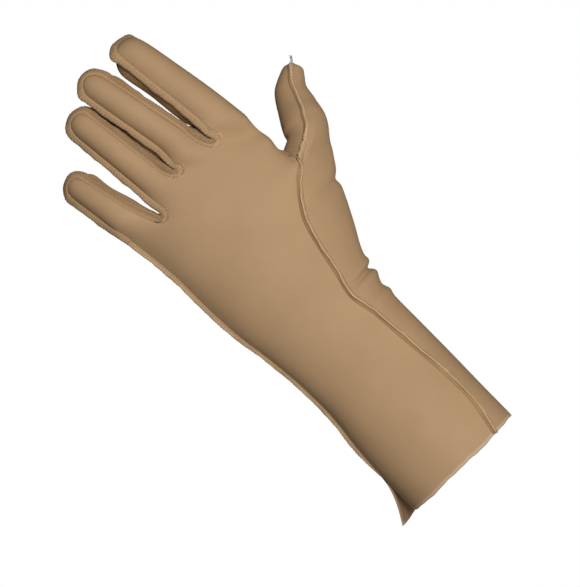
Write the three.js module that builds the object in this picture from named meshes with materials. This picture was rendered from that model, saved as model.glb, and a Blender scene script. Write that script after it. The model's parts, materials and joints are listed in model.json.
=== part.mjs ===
// A full-finger compression glove for the left hand, reaching over the wrist, in the form it has when worn.
// Millimetres. +Z runs from the cuff to the fingertips, +X to the thumb, -Y out of the back of the hand.
// The origin is the centre of the cuff opening.
//
// The glove is elastic cloth: a back panel, and a palm panel with the thumb, sewn edge to edge with raised
// seams on the outside.
// Its skin is a grid of lines that run from the cuff to the tips. Each line is a spline through the
// sections in the tables below. The seams lie on lines of the grid, so each panel is a set of its cells.

import * as THREE from 'three';

// Cloth and seams
const WALL = 1.2;
const PANEL_GAP = 0.7;
const SEAM_GAP = 0.35;
const SEAM_HEIGHT = 2.4;
const SEAM_ROOT = 1.7;
const SEAM_CREST = 1.2;
const SEAM_BUTT = 0.4;
const SEAM_CROTCH_GAP = 2.0;
const SEAM_FADE = 14;
const SEAM_LOW = 0.25;

// Grid: cells across a finger's back, round the thumb, and down the sides between back and front
const BACK_CELLS = 6;
const THUMB_CELLS = 9;
const SIDE_CELLS = [1, 1, 1, 1, 2];

// Sections of the wrist and hand up to the thumb's crotch, seen from the back of the hand.
// ulnar and radial are the two edges, seam the line of the radial seam, back and palm the heights of
// the crest and the hollow, ulnarY and radialY the depths of the edges, thenar the swell of the thumb's
// ball, tilt how far the section dips at the thumb, and rows the grid rows up to the next section.
const WRIST_SECTIONS = table(
  ['z', 'ulnar', 'seam', 'radial', 'back', 'palm', 'ulnarY', 'radialY', 'thenar', 'tilt', 'rows'],
  [0, -32.0, 21.5, 33.3, -27.0, 27.0, 0.0, 0.0, 0.0, 0.0, 2],
  [20, -31.4, 24.8, 33.3, -26.0, 26.5, 0.0, 0.0, 0.0, 0.0, 2],
  [40, -30.9, 24.4, 33.5, -24.5, 25.0, 0.0, 0.0, 0.0, 0.0, 2],
  [60, -28.9, 22.6, 33.5, -22.5, 22.5, 0.0, 0.0, 0.0, 0.0, 2],
  [80, -29.2, 21.0, 33.5, -20.5, 20.0, 0.0, 1.0, 0.0, 0.0, 5],
  [94, -30.5, 18.6, 34.5, -19.5, 18.5, 1.0, 2.0, 0.05, 0.0, 4],
  [106, -32.1, 21.2, 37.6, -19.0, 17.0, 1.5, 4.0, 0.15, 0.5, 2],
  [120, -34.5, 24.0, 44.3, -18.5, 15.5, 2.0, 7.0, 0.3, 2.0, 2],
  [135, -35.5, 28.2, 50.8, -18.0, 14.0, 2.6, 10.0, 0.35, 4.0, 2],
  [148, -35.8, 37.0, 55.6, -17.2, 13.0, 3.0, 12.0, 0.3, 6.0, 2],
  [158, -36.0, 46.0, 62.0, -16.7, 12.5, 3.0, 13.0, 0.2, 7.0, 2],
);
const SECTION_FULLNESS = 2.25;
const ULNAR_SEAM_TURN = 0.3;
const ULNAR_PALM_TURN = 0.4;
const THENAR_PLACE = 0.5;
const THENAR_SPREAD = 0.35;

// The hand between the thumb's crotch and the finger crotches,
// with the angles at which the index finger's hidden seam and its palm pass
const HAND_SECTIONS = table(
  ['z', 'ulnar', 'radial', 'back', 'palm', 'ulnarY', 'radialY', 'seamTurn', 'palmTurn', 'rows'],
  [165, -36.6, 43.6, -16.4, 11.8, 3.0, 2.0, 0.0, -0.95, 2],
  [176, -37.9, 42.4, -16.0, 10.8, 3.0, 1.0, -0.35, -1.1, 2],
);

// Crotches from the little finger's outer side to the index finger's outer side
const CROTCHES = table(
  ['x', 'backY', 'backZ', 'palmY', 'palmZ'],
  [-39.0, -1.5, 186, 4.5, 187],
  [-19.5, -10.5, 184, 1.5, 188],
  [0.6, -13.0, 195, -0.5, 198],
  [23.5, -12.5, 192, 0.0, 195],
  [41.2, 4.0, 189, 7.0, 190],
);
const WEB_HALF = 1.9;
const PALM_PAD = 5.5;

// Fingers: axis from base to tip, radius at the base and near the tip, rise of the knuckle, drop of the
// tip's two corners, places of the two seams in degrees from the thumb side through the back, and how far
// the side walls swell at the base, the middle and the end
const FINGERS = table(
  [
    'name', 'base', 'tip', 'radius', 'tipRadius', 'knuckle', 'corners', 'ulnarSeam', 'radialSeam',
    'ulnarWall', 'radialWall',
  ],
  [
    'little', [-30.2, -3.0, 186], [-38.3, 8, 226.6], 8.8, 7.0, 3.5, [5, 6.5], 170, 46,
    [0.5, 0.6, 0], [1.1, 0.4, 0.8],
  ],
  [
    'ring', [-9.2, -5.0, 193], [-15.8, 6, 247.3], 8.0, 7.2, 2.5, [6, 6], 170, 45,
    [2.0, 1.1, 0.8], [2.7, 2.5, 2.9],
  ],
  [
    'middle', [12.2, -7.5, 195], [0.3, 2, 256.7], 7.9, 7.1, 3.0, [5.5, 8.5], 152, 20,
    [2.4, 2.0, 2.4], [0.6, 0.4, 1.4],
  ],
  [
    'index', [33.2, -5.5, 192], [23.9, 5, 257.2], 10.1, 8.3, 9.3, [3.5, 0.5], 135, -48,
    [2.5, 1.7, 3.3], [0, 0, 0],
  ],
);
// Where a side wall swells most, as a drop from the side towards the palm, and how wide, in radians
const WALL_DROP = 0.25;
const WALL_SPREAD = 0.75;
// Stations along a finger: share of its length, share of its roundness, place in the wall columns, share
// of the walls' swell, rows up to this station
const FINGER_STATIONS = table(
  ['along', 'round', 'wall', 'swell', 'rows'],
  [0.24, 1.0, 0, 1.0, 2],
  [0.6, 1.0, 1, 1.0, 3],
  [0.86, 0.93, 2, 1.0, 2],
  [0.965, 0.6, 2, 0.4, 1],
  [1.0, 0.0, 2, 0.0, 1],
);
const FINGER_BOW = 1.2;

// Thumb: centres, radii and the place of its seam, in degrees from the outer side through the back
const THUMB_STATIONS = table(
  ['centre', 'radius', 'seam', 'rows'],
  [[59.4, 13.0, 165.0], 11.0, 100, 2],
  [[63.5, 20.0, 176.0], 9.8, 77, 2],
  [[67.5, 24.5, 184.7], 8.0, 70, 2],
  [[72.4, 27.0, 188.8], 6.4, 75, 1],
  [[75.5, 28.2, 190.8], 4.7, 80, 1],
);
const THUMB_START = [53.5, 6, 154.5];
const THUMB_TIP = [76.8, 28.8, 191.9];
const THUMB_TIP_ROWS = 1;
// The thumb's cloth is parted from the palm's this many grid rows below its crotch
const THUMB_CUT_ROWS = 1;
// Degrees round the thumb that belong to the wrist's lines. The rest belongs to the web at its crotch,
// which is drawn in and up between the seam and the palm, and lifts the hand's edge above it.
const THUMB_ARC = 252;
const THUMB_WEB_IN = 1.0;
const THUMB_WEB_UP = 5.5;
const THUMB_WEB_LIFT = 3.5;
// Angle below the thumb-side edge at which the thumb's lines end: a share of the seam's angle, held
// above a least turn
const THUMB_PALM_SHARE = 0.95;
const THUMB_LEAST_TURN = 0.6;

// Creases on the thumb side of the wrist, pressed in from the edge, and with a negative depth the folds
// that stand out between them
const CREASES = table(
  ['z', 'depth', 'half'],
  [138, 1.2, 2.2],
  [102, -0.8, 2.2],
  [97.6, 2.2, 1.6],
  [93.8, -1.0, 2.4],
  [88, 0.7, 2.2],
  [83.3, -0.6, 2.2],
);
const CREASE_SPREAD = 0.7;

// The palm panel's corner turns out where the outer seam is left open at the cuff
const FLARE_HEIGHT = 20;
const FLARE_REACH = 9.2;
const FLARE_SHARE = 0.35;
const FLARE_CURL = 1.9;

const CLOTH_COLOUR = 0xb08f68;
const SHADE_COLOUR = 0xa58560;
const SEAM_COLOUR = 0xc0a07a;
const CLOTH_ROUGHNESS = 0.85;

// Corners closer than one step of this many to the millimetre are one point of the skin
const JOIN_STEPS = 500;

function vector(values) {
  return new THREE.Vector3(...values);
}

function mix(a, b, share) {
  return a + (b - a) * share;
}

function range(count) {
  return [...Array(count).keys()];
}

// Rows with named columns
function table(columns, ...rows) {
  return rows.map(row => Object.fromEntries(row.map((value, i) => [columns[i], value])));
}

// Point on a spline through the given points, at a share of the span that starts at the given index
function splinePoint(points, span, share) {
  const last = points.length - 1;
  const a = points[span];
  const b = points[span + 1];
  const before = span > 0 ? points[span - 1] : a.clone().multiplyScalar(2).sub(b);
  const after = span + 2 <= last ? points[span + 2] : b.clone().multiplyScalar(2).sub(a);
  const [s, s2, s3] = [share, share * share, share ** 3];
  return new THREE.Vector3()
    .addScaledVector(before, (-s + 2 * s2 - s3) / 2)
    .addScaledVector(a, (2 - 5 * s2 + 3 * s3) / 2)
    .addScaledVector(b, (s + 4 * s2 - 3 * s3) / 2)
    .addScaledVector(after, (-s2 + s3) / 2);
}

// All grid points of a line: rows[i] steps over the span from station i to station i + 1
function lineRows(points, firstSpan, rows) {
  const out = [points[firstSpan].clone()];
  rows.forEach((count, i) => {
    for (let step = 1; step <= count; step += 1) {
      out.push(splinePoint(points, firstSpan + i, step / count));
    }
  });
  return out;
}

// Point of a cross-section at an angle: 0 is the thumb-side edge, positive angles run over the back
function sectionPoint(section, angle) {
  const middle = (section.ulnar + section.radial) / 2;
  const half = (section.radial - section.ulnar) / 2;
  const power = 2 / SECTION_FULLNESS;
  const across = Math.sign(Math.cos(angle)) * Math.abs(Math.cos(angle)) ** power;
  const height = Math.abs(Math.sin(angle)) ** power;
  const edge = (across < 0 ? section.ulnarY : section.radialY) * across * across;
  const swell = 1 + (section.thenar ?? 0) * Math.exp(-(((across - THENAR_PLACE) / THENAR_SPREAD) ** 2));
  const y = Math.sin(angle) > 0 ? section.back * height : section.palm * height * swell;
  return new THREE.Vector3(middle + half * across, edge + y, section.z);
}

// Angle at which a section's back passes a given x
function angleAt(section, x) {
  const middle = (section.ulnar + section.radial) / 2;
  const half = (section.radial - section.ulnar) / 2;
  const across = (x - middle) / half;
  return Math.acos(Math.sign(across) * Math.abs(across) ** (SECTION_FULLNESS / 2));
}

// Lines of the back run from the little finger to the index finger, lines of the palm the other way.
// Between two fingers lies one cell more, the web.
const THUMB_SIDE = FINGERS.length;
const PALM_CELLS = FINGERS.map((finger, k) => BACK_CELLS - SIDE_CELLS[k] - SIDE_CELLS[k + 1]);
const backStart = finger => finger * (BACK_CELLS + 1);
const palmStart = finger => PALM_CELLS.slice(finger + 1).reduce((sum, count) => sum + count + 1, 0);
const BACK_LAST = backStart(THUMB_SIDE) - 1;
const PALM_LAST = palmStart(-1) - 1;

// Stations of the wrist: one list of points for each line of the body
const wristAngles = WRIST_SECTIONS.map(section => {
  const seam = angleAt(section, section.seam);
  return { seam, palm: -Math.max(seam, THUMB_LEAST_TURN) * THUMB_PALM_SHARE };
});

function wristBackStation(line, i) {
  const start = Math.PI - ULNAR_SEAM_TURN;
  return sectionPoint(WRIST_SECTIONS[i], mix(start, wristAngles[i].seam, line / BACK_LAST));
}

function wristPalmStation(line, i) {
  const end = -(Math.PI - ULNAR_PALM_TURN);
  return sectionPoint(WRIST_SECTIONS[i], mix(wristAngles[i].palm, end, line / PALM_LAST));
}

function wristThumbStation(line, i) {
  const share = line / THUMB_CELLS;
  const point = sectionPoint(WRIST_SECTIONS[i], mix(wristAngles[i].seam, wristAngles[i].palm, share));
  point.z -= WRIST_SECTIONS[i].tilt * Math.sin(Math.PI * share);
  return point;
}

function wristSideStation(share, i) {
  const start = -(Math.PI - ULNAR_PALM_TURN);
  return sectionPoint(WRIST_SECTIONS[i], mix(start, -(Math.PI + ULNAR_SEAM_TURN), share));
}

// Stations of the hand above the thumb's crotch
function handBackStation(section, line) {
  return sectionPoint(section, mix(Math.PI - ULNAR_SEAM_TURN, section.seamTurn, line / BACK_LAST));
}

function handPalmStation(section, line) {
  return sectionPoint(section, mix(section.palmTurn, -(Math.PI - ULNAR_PALM_TURN), line / PALM_LAST));
}

// Stations of the row of knuckles, where the fingers part. A web's two edges lie on either side of its
// crotch: side is -1 at the edge towards the little finger, 1 at the edge towards the index finger.
function crotchStation(crotch, side, share) {
  const c = CROTCHES[crotch];
  const isWeb = crotch > 0 && crotch < THUMB_SIDE;
  const x = c.x + (isWeb ? side * WEB_HALF : 0);
  return new THREE.Vector3(x, mix(c.backY, c.palmY, share), mix(c.backZ, c.palmZ, share));
}

function crotchBackStation(line) {
  const finger = Math.min(Math.floor(line / (BACK_CELLS + 1)), FINGERS.length - 1);
  const share = (line - backStart(finger)) / BACK_CELLS;
  const [from, to] = [crotchStation(finger, 1, 0), crotchStation(finger + 1, -1, 0)];
  const out = new THREE.Vector3(to.y - from.y, from.x - to.x, 0).normalize();
  return from.lerp(to, share).addScaledVector(out, FINGERS[finger].knuckle * Math.sin(Math.PI * share));
}

function crotchPalmStation(line) {
  const finger = FINGERS.findIndex((f, k) => line >= palmStart(k));
  const share = (line - palmStart(finger)) / PALM_CELLS[finger];
  const point = crotchStation(finger + 1, -1, 1).lerp(crotchStation(finger, 1, 1), share);
  point.y += PALM_PAD * Math.sin(Math.PI * share);
  return point;
}

// How far the side walls push a finger's skin to the thumb side, at an angle below the back
function wallSwell(finger, angle, wall) {
  const radial = finger.radialWall[wall] * Math.exp(-(((angle + WALL_DROP) / WALL_SPREAD) ** 2));
  const ulnar = finger.ulnarWall[wall] * Math.exp(-(((angle + Math.PI - WALL_DROP) / WALL_SPREAD) ** 2));
  return radial - ulnar;
}

// Point of a finger's skin: line counts round the finger from its outer seam over the back
function fingerStation(finger, line, station) {
  const [base, tip] = [vector(finger.base), vector(finger.tip)];
  const axis = tip.clone().sub(base);
  const length = axis.length();
  axis.normalize();
  const radialway = new THREE.Vector3(axis.z, 0, -axis.x).normalize();
  const backway = new THREE.Vector3().crossVectors(radialway, axis);
  const [ulnar, radial] = [finger.ulnarSeam, finger.radialSeam].map(THREE.MathUtils.degToRad);
  const onBack = line <= BACK_CELLS;
  const place = onBack ? line / BACK_CELLS : 2 - line / BACK_CELLS;
  const start = onBack ? ulnar : ulnar - 2 * Math.PI;
  const angle = mix(start, radial, place);
  const cornerDrop = mix(...finger.corners, place) * (1 - Math.sin(Math.PI * place));
  const along = station.along * (length - cornerDrop);
  const radius = mix(finger.radius, finger.tipRadius, station.along);
  const ring = [radius * Math.cos(angle), radius * Math.sin(angle)];
  const seamA = [radius * Math.cos(ulnar), radius * Math.sin(ulnar)];
  const seamB = [radius * Math.cos(radial), radius * Math.sin(radial)];
  const easedPlace = (1 - Math.cos(Math.PI * place)) / 2;
  const flat = seamA.map((value, i) => mix(value, seamB[i], easedPlace));
  const bow = FINGER_BOW * Math.sin(Math.PI * station.along);
  const swell = onBack ? 0 : station.swell * wallSwell(finger, angle, station.wall);
  return base.clone()
    .addScaledVector(axis, along)
    .addScaledVector(radialway, mix(flat[0], ring[0], station.round) + swell)
    .addScaledVector(backway, mix(flat[1], ring[1], station.round) + bow);
}

// Point of the thumb's skin: angle in degrees from the outer side through the back
function thumbStation(index, degrees) {
  const station = THUMB_STATIONS[index];
  const before = index > 0 ? THUMB_STATIONS[index - 1].centre : THUMB_START;
  const after = index + 1 < THUMB_STATIONS.length ? THUMB_STATIONS[index + 1].centre : THUMB_TIP;
  const axis = vector(after).sub(vector(before)).normalize();
  const outward = new THREE.Vector3(axis.z, 0, -axis.x).normalize();
  const backward = new THREE.Vector3().crossVectors(outward, axis);
  const angle = THREE.MathUtils.degToRad(station.seam + degrees);
  return vector(station.centre)
    .addScaledVector(outward, station.radius * Math.cos(angle))
    .addScaledVector(backward, station.radius * Math.sin(angle));
}

const wristRows = WRIST_SECTIONS.slice(0, -1).map(section => section.rows);
const handRows = [WRIST_SECTIONS.at(-1), ...HAND_SECTIONS].map(section => section.rows);
const fingerRows = FINGER_STATIONS.map(station => station.rows);
const thumbRows = [...THUMB_STATIONS.map(station => station.rows), THUMB_TIP_ROWS];

// Station lists of the body's lines, from the cuff to the row of knuckles
const backStations = range(BACK_LAST + 1).map(line => [
  ...WRIST_SECTIONS.map((section, i) => wristBackStation(line, i)),
  ...HAND_SECTIONS.map(section => handBackStation(section, line)),
  crotchBackStation(line),
]);
const palmStations = range(PALM_LAST + 1).map(line => [
  ...WRIST_SECTIONS.map((section, i) => wristPalmStation(line, i)),
  ...HAND_SECTIONS.map(section => handPalmStation(section, line)),
  crotchPalmStation(line),
]);

// The web between thumb and hand, as lines between back and palm
const webStations = range(SIDE_CELLS[THUMB_SIDE] + 1).map(line => {
  const share = line / SIDE_CELLS[THUMB_SIDE];
  const lastWrist = WRIST_SECTIONS.length - 1;
  const web = backStations[BACK_LAST][lastWrist].clone().lerp(palmStations[0][lastWrist], share);
  const bulge = Math.sin(Math.PI * share);
  web.x -= THUMB_WEB_IN * bulge;
  web.z += THUMB_WEB_UP * bulge;
  const hand = HAND_SECTIONS.map(section => {
    return sectionPoint(section, mix(section.seamTurn, section.palmTurn, share));
  });
  hand[0].z += THUMB_WEB_LIFT * bulge;
  return [web, ...hand, crotchStation(THUMB_SIDE, 0, share)];
});

// The outer side of the hand, as lines between palm and back
const outerSide = range(SIDE_CELLS[0] + 1).map(line => {
  const share = line / SIDE_CELLS[0];
  const handAngle = mix(-(Math.PI - ULNAR_PALM_TURN), -(Math.PI + ULNAR_SEAM_TURN), share);
  return [
    ...WRIST_SECTIONS.map((section, i) => wristSideStation(share, i)),
    ...HAND_SECTIONS.map(section => sectionPoint(section, handAngle)),
    crotchStation(0, 0, 1 - share),
  ];
});
outerSide[0] = palmStations[PALM_LAST];
outerSide[SIDE_CELLS[0]] = backStations[0];

// Presses the creases into a line on the thumb side of the wrist
function creased(points, weight) {
  return points.map(point => {
    const pressed = point.clone();
    for (const crease of CREASES) {
      pressed.x -= crease.depth * weight * Math.exp(-(((point.z - crease.z) / crease.half) ** 2));
    }
    return pressed;
  });
}

// Cells of the skin, each a loop of four corners facing out, sorted by panel
const cells = { back_panel: [], palm_panel: [], thumb_panel: [] };

function addStrip(panel, lineA, lineB) {
  for (let row = 0; row + 1 < lineA.length; row += 1) {
    cells[panel].push([lineA[row], lineB[row], lineB[row + 1], lineA[row + 1]]);
  }
}

function addBand(panel, lines) {
  for (let i = 0; i + 1 < lines.length; i += 1) {
    addStrip(panel, lines[i], lines[i + 1]);
  }
}

const bodyRows = [...wristRows, ...handRows];
const backLines = backStations.map(stations => lineRows(stations, 0, bodyRows));
const palmLines = palmStations.map(stations => lineRows(stations, 0, bodyRows));
const outerLines = outerSide.map(stations => lineRows(stations, 0, bodyRows));
const webLines = webStations.map(stations => lineRows(stations, 0, handRows));
const wristRowCount = wristRows.reduce((sum, count) => sum + count, 0);
const thumbCut = wristRowCount - THUMB_CUT_ROWS;
webLines[0] = backLines[BACK_LAST].slice(wristRowCount);
webLines[webLines.length - 1] = palmLines[0].slice(wristRowCount);

// The thumb: wrist lines that run on round it, closed by the lines of the web
const thumbLines = range(THUMB_CELLS + 1).map(line => {
  const wrist = WRIST_SECTIONS.map((section, i) => wristThumbStation(line, i));
  const degrees = -THUMB_ARC * line / THUMB_CELLS;
  const thumb = THUMB_STATIONS.map((station, i) => thumbStation(i, degrees));
  const stations = [...wrist, ...thumb, vector(THUMB_TIP)];
  const weight = Math.sin(Math.PI * line / THUMB_CELLS) ** CREASE_SPREAD;
  return creased(lineRows(stations, 0, [...wristRows, ...thumbRows]), weight);
});
const thumbWebLines = webLines.map((web, line) => {
  const degrees = (360 - THUMB_ARC) * line / SIDE_CELLS[THUMB_SIDE];
  const thumb = THUMB_STATIONS.map((station, i) => thumbStation(i, degrees));
  return lineRows([web[0], ...thumb, vector(THUMB_TIP)], 0, thumbRows);
});
thumbLines[0].splice(0, wristRowCount + 1, ...backLines[BACK_LAST].slice(0, wristRowCount + 1));
thumbLines[THUMB_CELLS].splice(0, wristRowCount + 1, ...palmLines[0].slice(0, wristRowCount + 1));
thumbWebLines[0] = thumbLines[0].slice(wristRowCount);
thumbWebLines[thumbWebLines.length - 1] = thumbLines[THUMB_CELLS].slice(wristRowCount);

addBand('back_panel', backLines);
addBand('palm_panel', thumbLines.map(line => line.slice(0, thumbCut + 1)));
addBand('thumb_panel', thumbLines.map(line => line.slice(thumbCut)));
addBand('thumb_panel', [...thumbWebLines].reverse());
addBand('palm_panel', webLines);
addBand('palm_panel', palmLines);
addBand('palm_panel', outerLines);

// The fingers: lines of the body that run on round them, closed by the lines of the webs
const fingerLines = FINGERS.map((finger, k) => {
  const ring = range(2 * BACK_CELLS).map(line => {
    const radialSide = line - BACK_CELLS;
    const palmSide = radialSide - SIDE_CELLS[k + 1];
    const ulnarSide = palmSide - PALM_CELLS[k];
    let body;
    if (line <= BACK_CELLS) {
      body = backStations[backStart(k) + line].slice(-2);
    } else if (palmSide < 0) {
      const share = radialSide / SIDE_CELLS[k + 1];
      const isIndex = k + 1 === THUMB_SIDE;
      body = isIndex ? webStations[radialSide].slice(-2) : [crotchStation(k + 1, -1, share)];
    } else if (ulnarSide <= 0) {
      body = palmStations[palmStart(k) + palmSide].slice(-2);
    } else {
      const share = 1 - ulnarSide / SIDE_CELLS[k];
      body = k === 0 ? outerSide[ulnarSide].slice(-2) : [crotchStation(k, 1, share)];
    }
    const skinStations = FINGER_STATIONS.map(station => fingerStation(finger, line, station));
    return lineRows([...body, ...skinStations], body.length - 1, fingerRows);
  });
  ring.push(ring[0]);
  return ring;
});
for (const ring of fingerLines) {
  addBand('back_panel', ring.slice(0, BACK_CELLS + 1));
  addBand('palm_panel', ring.slice(BACK_CELLS));
}

// The webs between the fingers, from the back to the palm
for (let crotch = 1; crotch < THUMB_SIDE; crotch += 1) {
  const [towardsLittle, towardsIndex] = [-1, 1].map(side => {
    return range(SIDE_CELLS[crotch] + 1).map(i => crotchStation(crotch, side, i / SIDE_CELLS[crotch]));
  });
  addStrip('palm_panel', towardsLittle, towardsIndex);
}

// Joins corners that fall together, so that cells share their points
const skin = { points: [], normals: [], index: new Map() };

function pointId(point) {
  const key = [point.x, point.y, point.z].map(value => Math.round(value * JOIN_STEPS)).join();
  if (!skin.index.has(key)) {
    skin.index.set(key, skin.points.length);
    skin.points.push(point.clone());
    skin.normals.push(new THREE.Vector3());
  }
  return skin.index.get(key);
}

function joinCells(panelCells) {
  return panelCells.map(cell => {
    return cell.map(pointId).filter((id, i, loop) => id !== loop[(i + 1) % loop.length]);
  });
}
const joined = Object.fromEntries(Object.entries(cells).map(([panel, list]) => [panel, joinCells(list)]));

// Outward normals, averaged over the cells that meet at a point
for (const loop of Object.values(joined).flat()) {
  const corners = loop.map(id => skin.points[id]);
  const diagonal = corners[2].clone().sub(corners[0]);
  const normal = diagonal.cross(corners.at(-1).clone().sub(corners[1]));
  loop.forEach(id => skin.normals[id].add(normal));
}
skin.normals.forEach(normal => normal.normalize());

// Edges with a cell on one side only, in the order of that cell
function rimEdges(loops) {
  const edges = new Map();
  for (const loop of loops) {
    loop.forEach((id, i) => {
      const next = loop[(i + 1) % loop.length];
      edges.set(`${id},${next}`, [id, next]);
    });
  }
  return [...edges.values()].filter(([a, b]) => !edges.has(`${b},${a}`));
}

// A panel's points: its edge drawn back from the seam line, and its open corner turned out
function panelPoints(loops, rim, flareWeight) {
  const neighbours = new Map();
  const onRim = new Set(rim.flat());
  for (const loop of loops) {
    loop.forEach(id => loop.filter(other => other !== id && !onRim.has(other)).forEach(other => {
      neighbours.set(id, [...(neighbours.get(id) ?? []), other]);
    }));
  }
  const points = new Map();
  for (const id of new Set(loops.flat())) {
    const point = skin.points[id].clone();
    if (onRim.has(id) && neighbours.has(id)) {
      const inside = new THREE.Vector3();
      neighbours.get(id).forEach(other => inside.add(skin.points[other]));
      inside.divideScalar(neighbours.get(id).length).sub(point).normalize();
      point.addScaledVector(inside, PANEL_GAP / 2);
    }
    const flare = flareWeight(id) * Math.max(0, 1 - point.z / FLARE_HEIGHT) ** FLARE_CURL;
    point.x -= FLARE_REACH * flare;
    points.set(id, point);
  }
  return points;
}

// A closed wall from a panel's cells: outer face, inner face, and the rim between them
function panelGeometry(loops, flareWeight) {
  const rim = rimEdges(loops);
  const points = panelPoints(loops, rim, flareWeight);
  const ids = [...points.keys()];
  const place = new Map(ids.map((id, i) => [id, i]));
  const outer = ids.map(id => points.get(id));
  const inner = ids.map(id => points.get(id).clone().addScaledVector(skin.normals[id], -WALL));
  const triangles = [];
  const innerStart = ids.length;
  for (const loop of loops) {
    const corners = loop.map(id => place.get(id));
    for (let i = 1; i + 1 < corners.length; i += 1) {
      const [a, b, c] = [corners[0], corners[i], corners[i + 1]];
      triangles.push(a, b, c, innerStart + a, innerStart + c, innerStart + b);
    }
  }
  for (const [from, to] of rim) {
    const [a, b] = [place.get(from), place.get(to)];
    triangles.push(b, a, innerStart + a, b, innerStart + a, innerStart + b);
  }
  return solid([...outer, ...inner], triangles);
}

function solid(points, triangles) {
  const geometry = new THREE.BufferGeometry();
  geometry.setAttribute('position', new THREE.Float32BufferAttribute(points.flatMap(p => p.toArray()), 3));
  geometry.setIndex(triangles);
  geometry.computeVertexNormals();
  return geometry;
}

// Shortens a path at both ends
function trimmed(path, gaps) {
  const out = path.map(step => ({ point: step.point.clone(), normal: step.normal.clone() }));
  [[0, 1], [out.length - 1, out.length - 2]].forEach(([end, next], i) => {
    const way = out[next].point.clone().sub(out[end].point).normalize();
    out[end].point.addScaledVector(way, gaps[i]);
  });
  return out;
}

// A raised seam along a line of the skin, standing up from it and lying low where it meets a crotch
function seamGeometry(line, lowStart, lowEnd) {
  const onSkin = line.map(pointId).map(id => ({ point: skin.points[id], normal: skin.normals[id] }));
  const path = trimmed(onSkin, [lowStart, lowEnd].map(low => (low ? SEAM_CROTCH_GAP : SEAM_BUTT)));
  const ends = [lowStart ? path[0].point : null, lowEnd ? path.at(-1).point : null].filter(Boolean);
  const points = [];
  const triangles = [];
  path.forEach((step, i) => {
    const before = path[Math.max(i - 1, 0)].point;
    const after = path[Math.min(i + 1, path.length - 1)].point;
    const way = after.clone().sub(before).normalize();
    const side = new THREE.Vector3().crossVectors(way, step.normal).normalize();
    const fromEnd = Math.min(SEAM_FADE, ...ends.map(point => point.distanceTo(step.point)));
    const height = SEAM_HEIGHT * mix(SEAM_LOW, 1, fromEnd / SEAM_FADE);
    for (const [across, up] of [[-1, 0], [1, 0], [1, 1], [-1, 1]]) {
      const half = mix(SEAM_ROOT, SEAM_CREST, up) / 2;
      points.push(step.point.clone()
        .addScaledVector(step.normal, SEAM_GAP + up * height)
        .addScaledVector(side, across * half));
    }
    if (i > 0) {
      const [a, b] = [4 * (i - 1), 4 * i];
      for (let corner = 0; corner < 4; corner += 1) {
        const next = (corner + 1) % 4;
        triangles.push(a + corner, b + next, a + next, a + corner, b + corner, b + next);
      }
    }
  });
  const end = points.length - 4;
  triangles.push(0, 1, 2, 0, 2, 3, end, end + 2, end + 1, end, end + 3, end + 2);
  return solid(points, triangles);
}

const glove = new THREE.Group();

function addPiece(name, geometry, color) {
  const material = new THREE.MeshStandardMaterial({ color, roughness: CLOTH_ROUGHNESS, metalness: 0 });
  const mesh = new THREE.Mesh(geometry, material);
  mesh.name = name;
  glove.add(mesh);
}

// The open corner: the palm panel's edge line turns out fully, its next line by a share
const flareLines = new Map();
outerLines[SIDE_CELLS[0]].forEach(point => flareLines.set(pointId(point), 1));
palmLines[PALM_LAST].forEach(point => flareLines.set(pointId(point), FLARE_SHARE));

addPiece('back_panel', panelGeometry(joined.back_panel, () => 0), CLOTH_COLOUR);
addPiece('palm_panel', panelGeometry(joined.palm_panel, id => flareLines.get(id) ?? 0), SHADE_COLOUR);
addPiece('thumb_panel', panelGeometry(joined.thumb_panel, () => 0), SHADE_COLOUR);

// Seams: up the outer side, round each finger, down to the thumb, along the thumb and down the wrist
const outerSeam = backLines[0].filter(point => point.z >= FLARE_HEIGHT);
addPiece('seam_outer_side', seamGeometry(outerSeam, false, false), SEAM_COLOUR);
FINGERS.forEach((finger, k) => {
  const ring = fingerLines[k];
  const overTip = ring.slice(1, BACK_CELLS).map(line => line.at(-1));
  const down = [...ring[BACK_CELLS]].reverse();
  const isIndex = k + 1 === THUMB_SIDE;
  const toThumb = isIndex ? backLines[BACK_LAST].slice(wristRowCount, -1).reverse() : [];
  const line = [...ring[0], ...overTip, ...down, ...toThumb];
  addPiece(`seam_${finger.name}`, seamGeometry(line, k > 0, true), SEAM_COLOUR);
});
addPiece('seam_thumb', seamGeometry(thumbLines[0].slice(wristRowCount), true, false), SEAM_COLOUR);
const wristSeam = backLines[BACK_LAST].slice(0, wristRowCount + 1);
addPiece('seam_wrist', seamGeometry(wristSeam, false, true), SEAM_COLOUR);

export default glove;
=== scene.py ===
# A full-finger compression glove for the left hand, in the form it has when worn: two panels of elastic
# knit, sewn together with raised outside seams that are edged with an overlock stitch.
import json
import math
from functools import lru_cache

import bpy
import numpy as np
from bpy.props import FloatProperty, FloatVectorProperty, PointerProperty
from mathutils import Matrix, Vector
from mathutils.kdtree import KDTree

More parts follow.
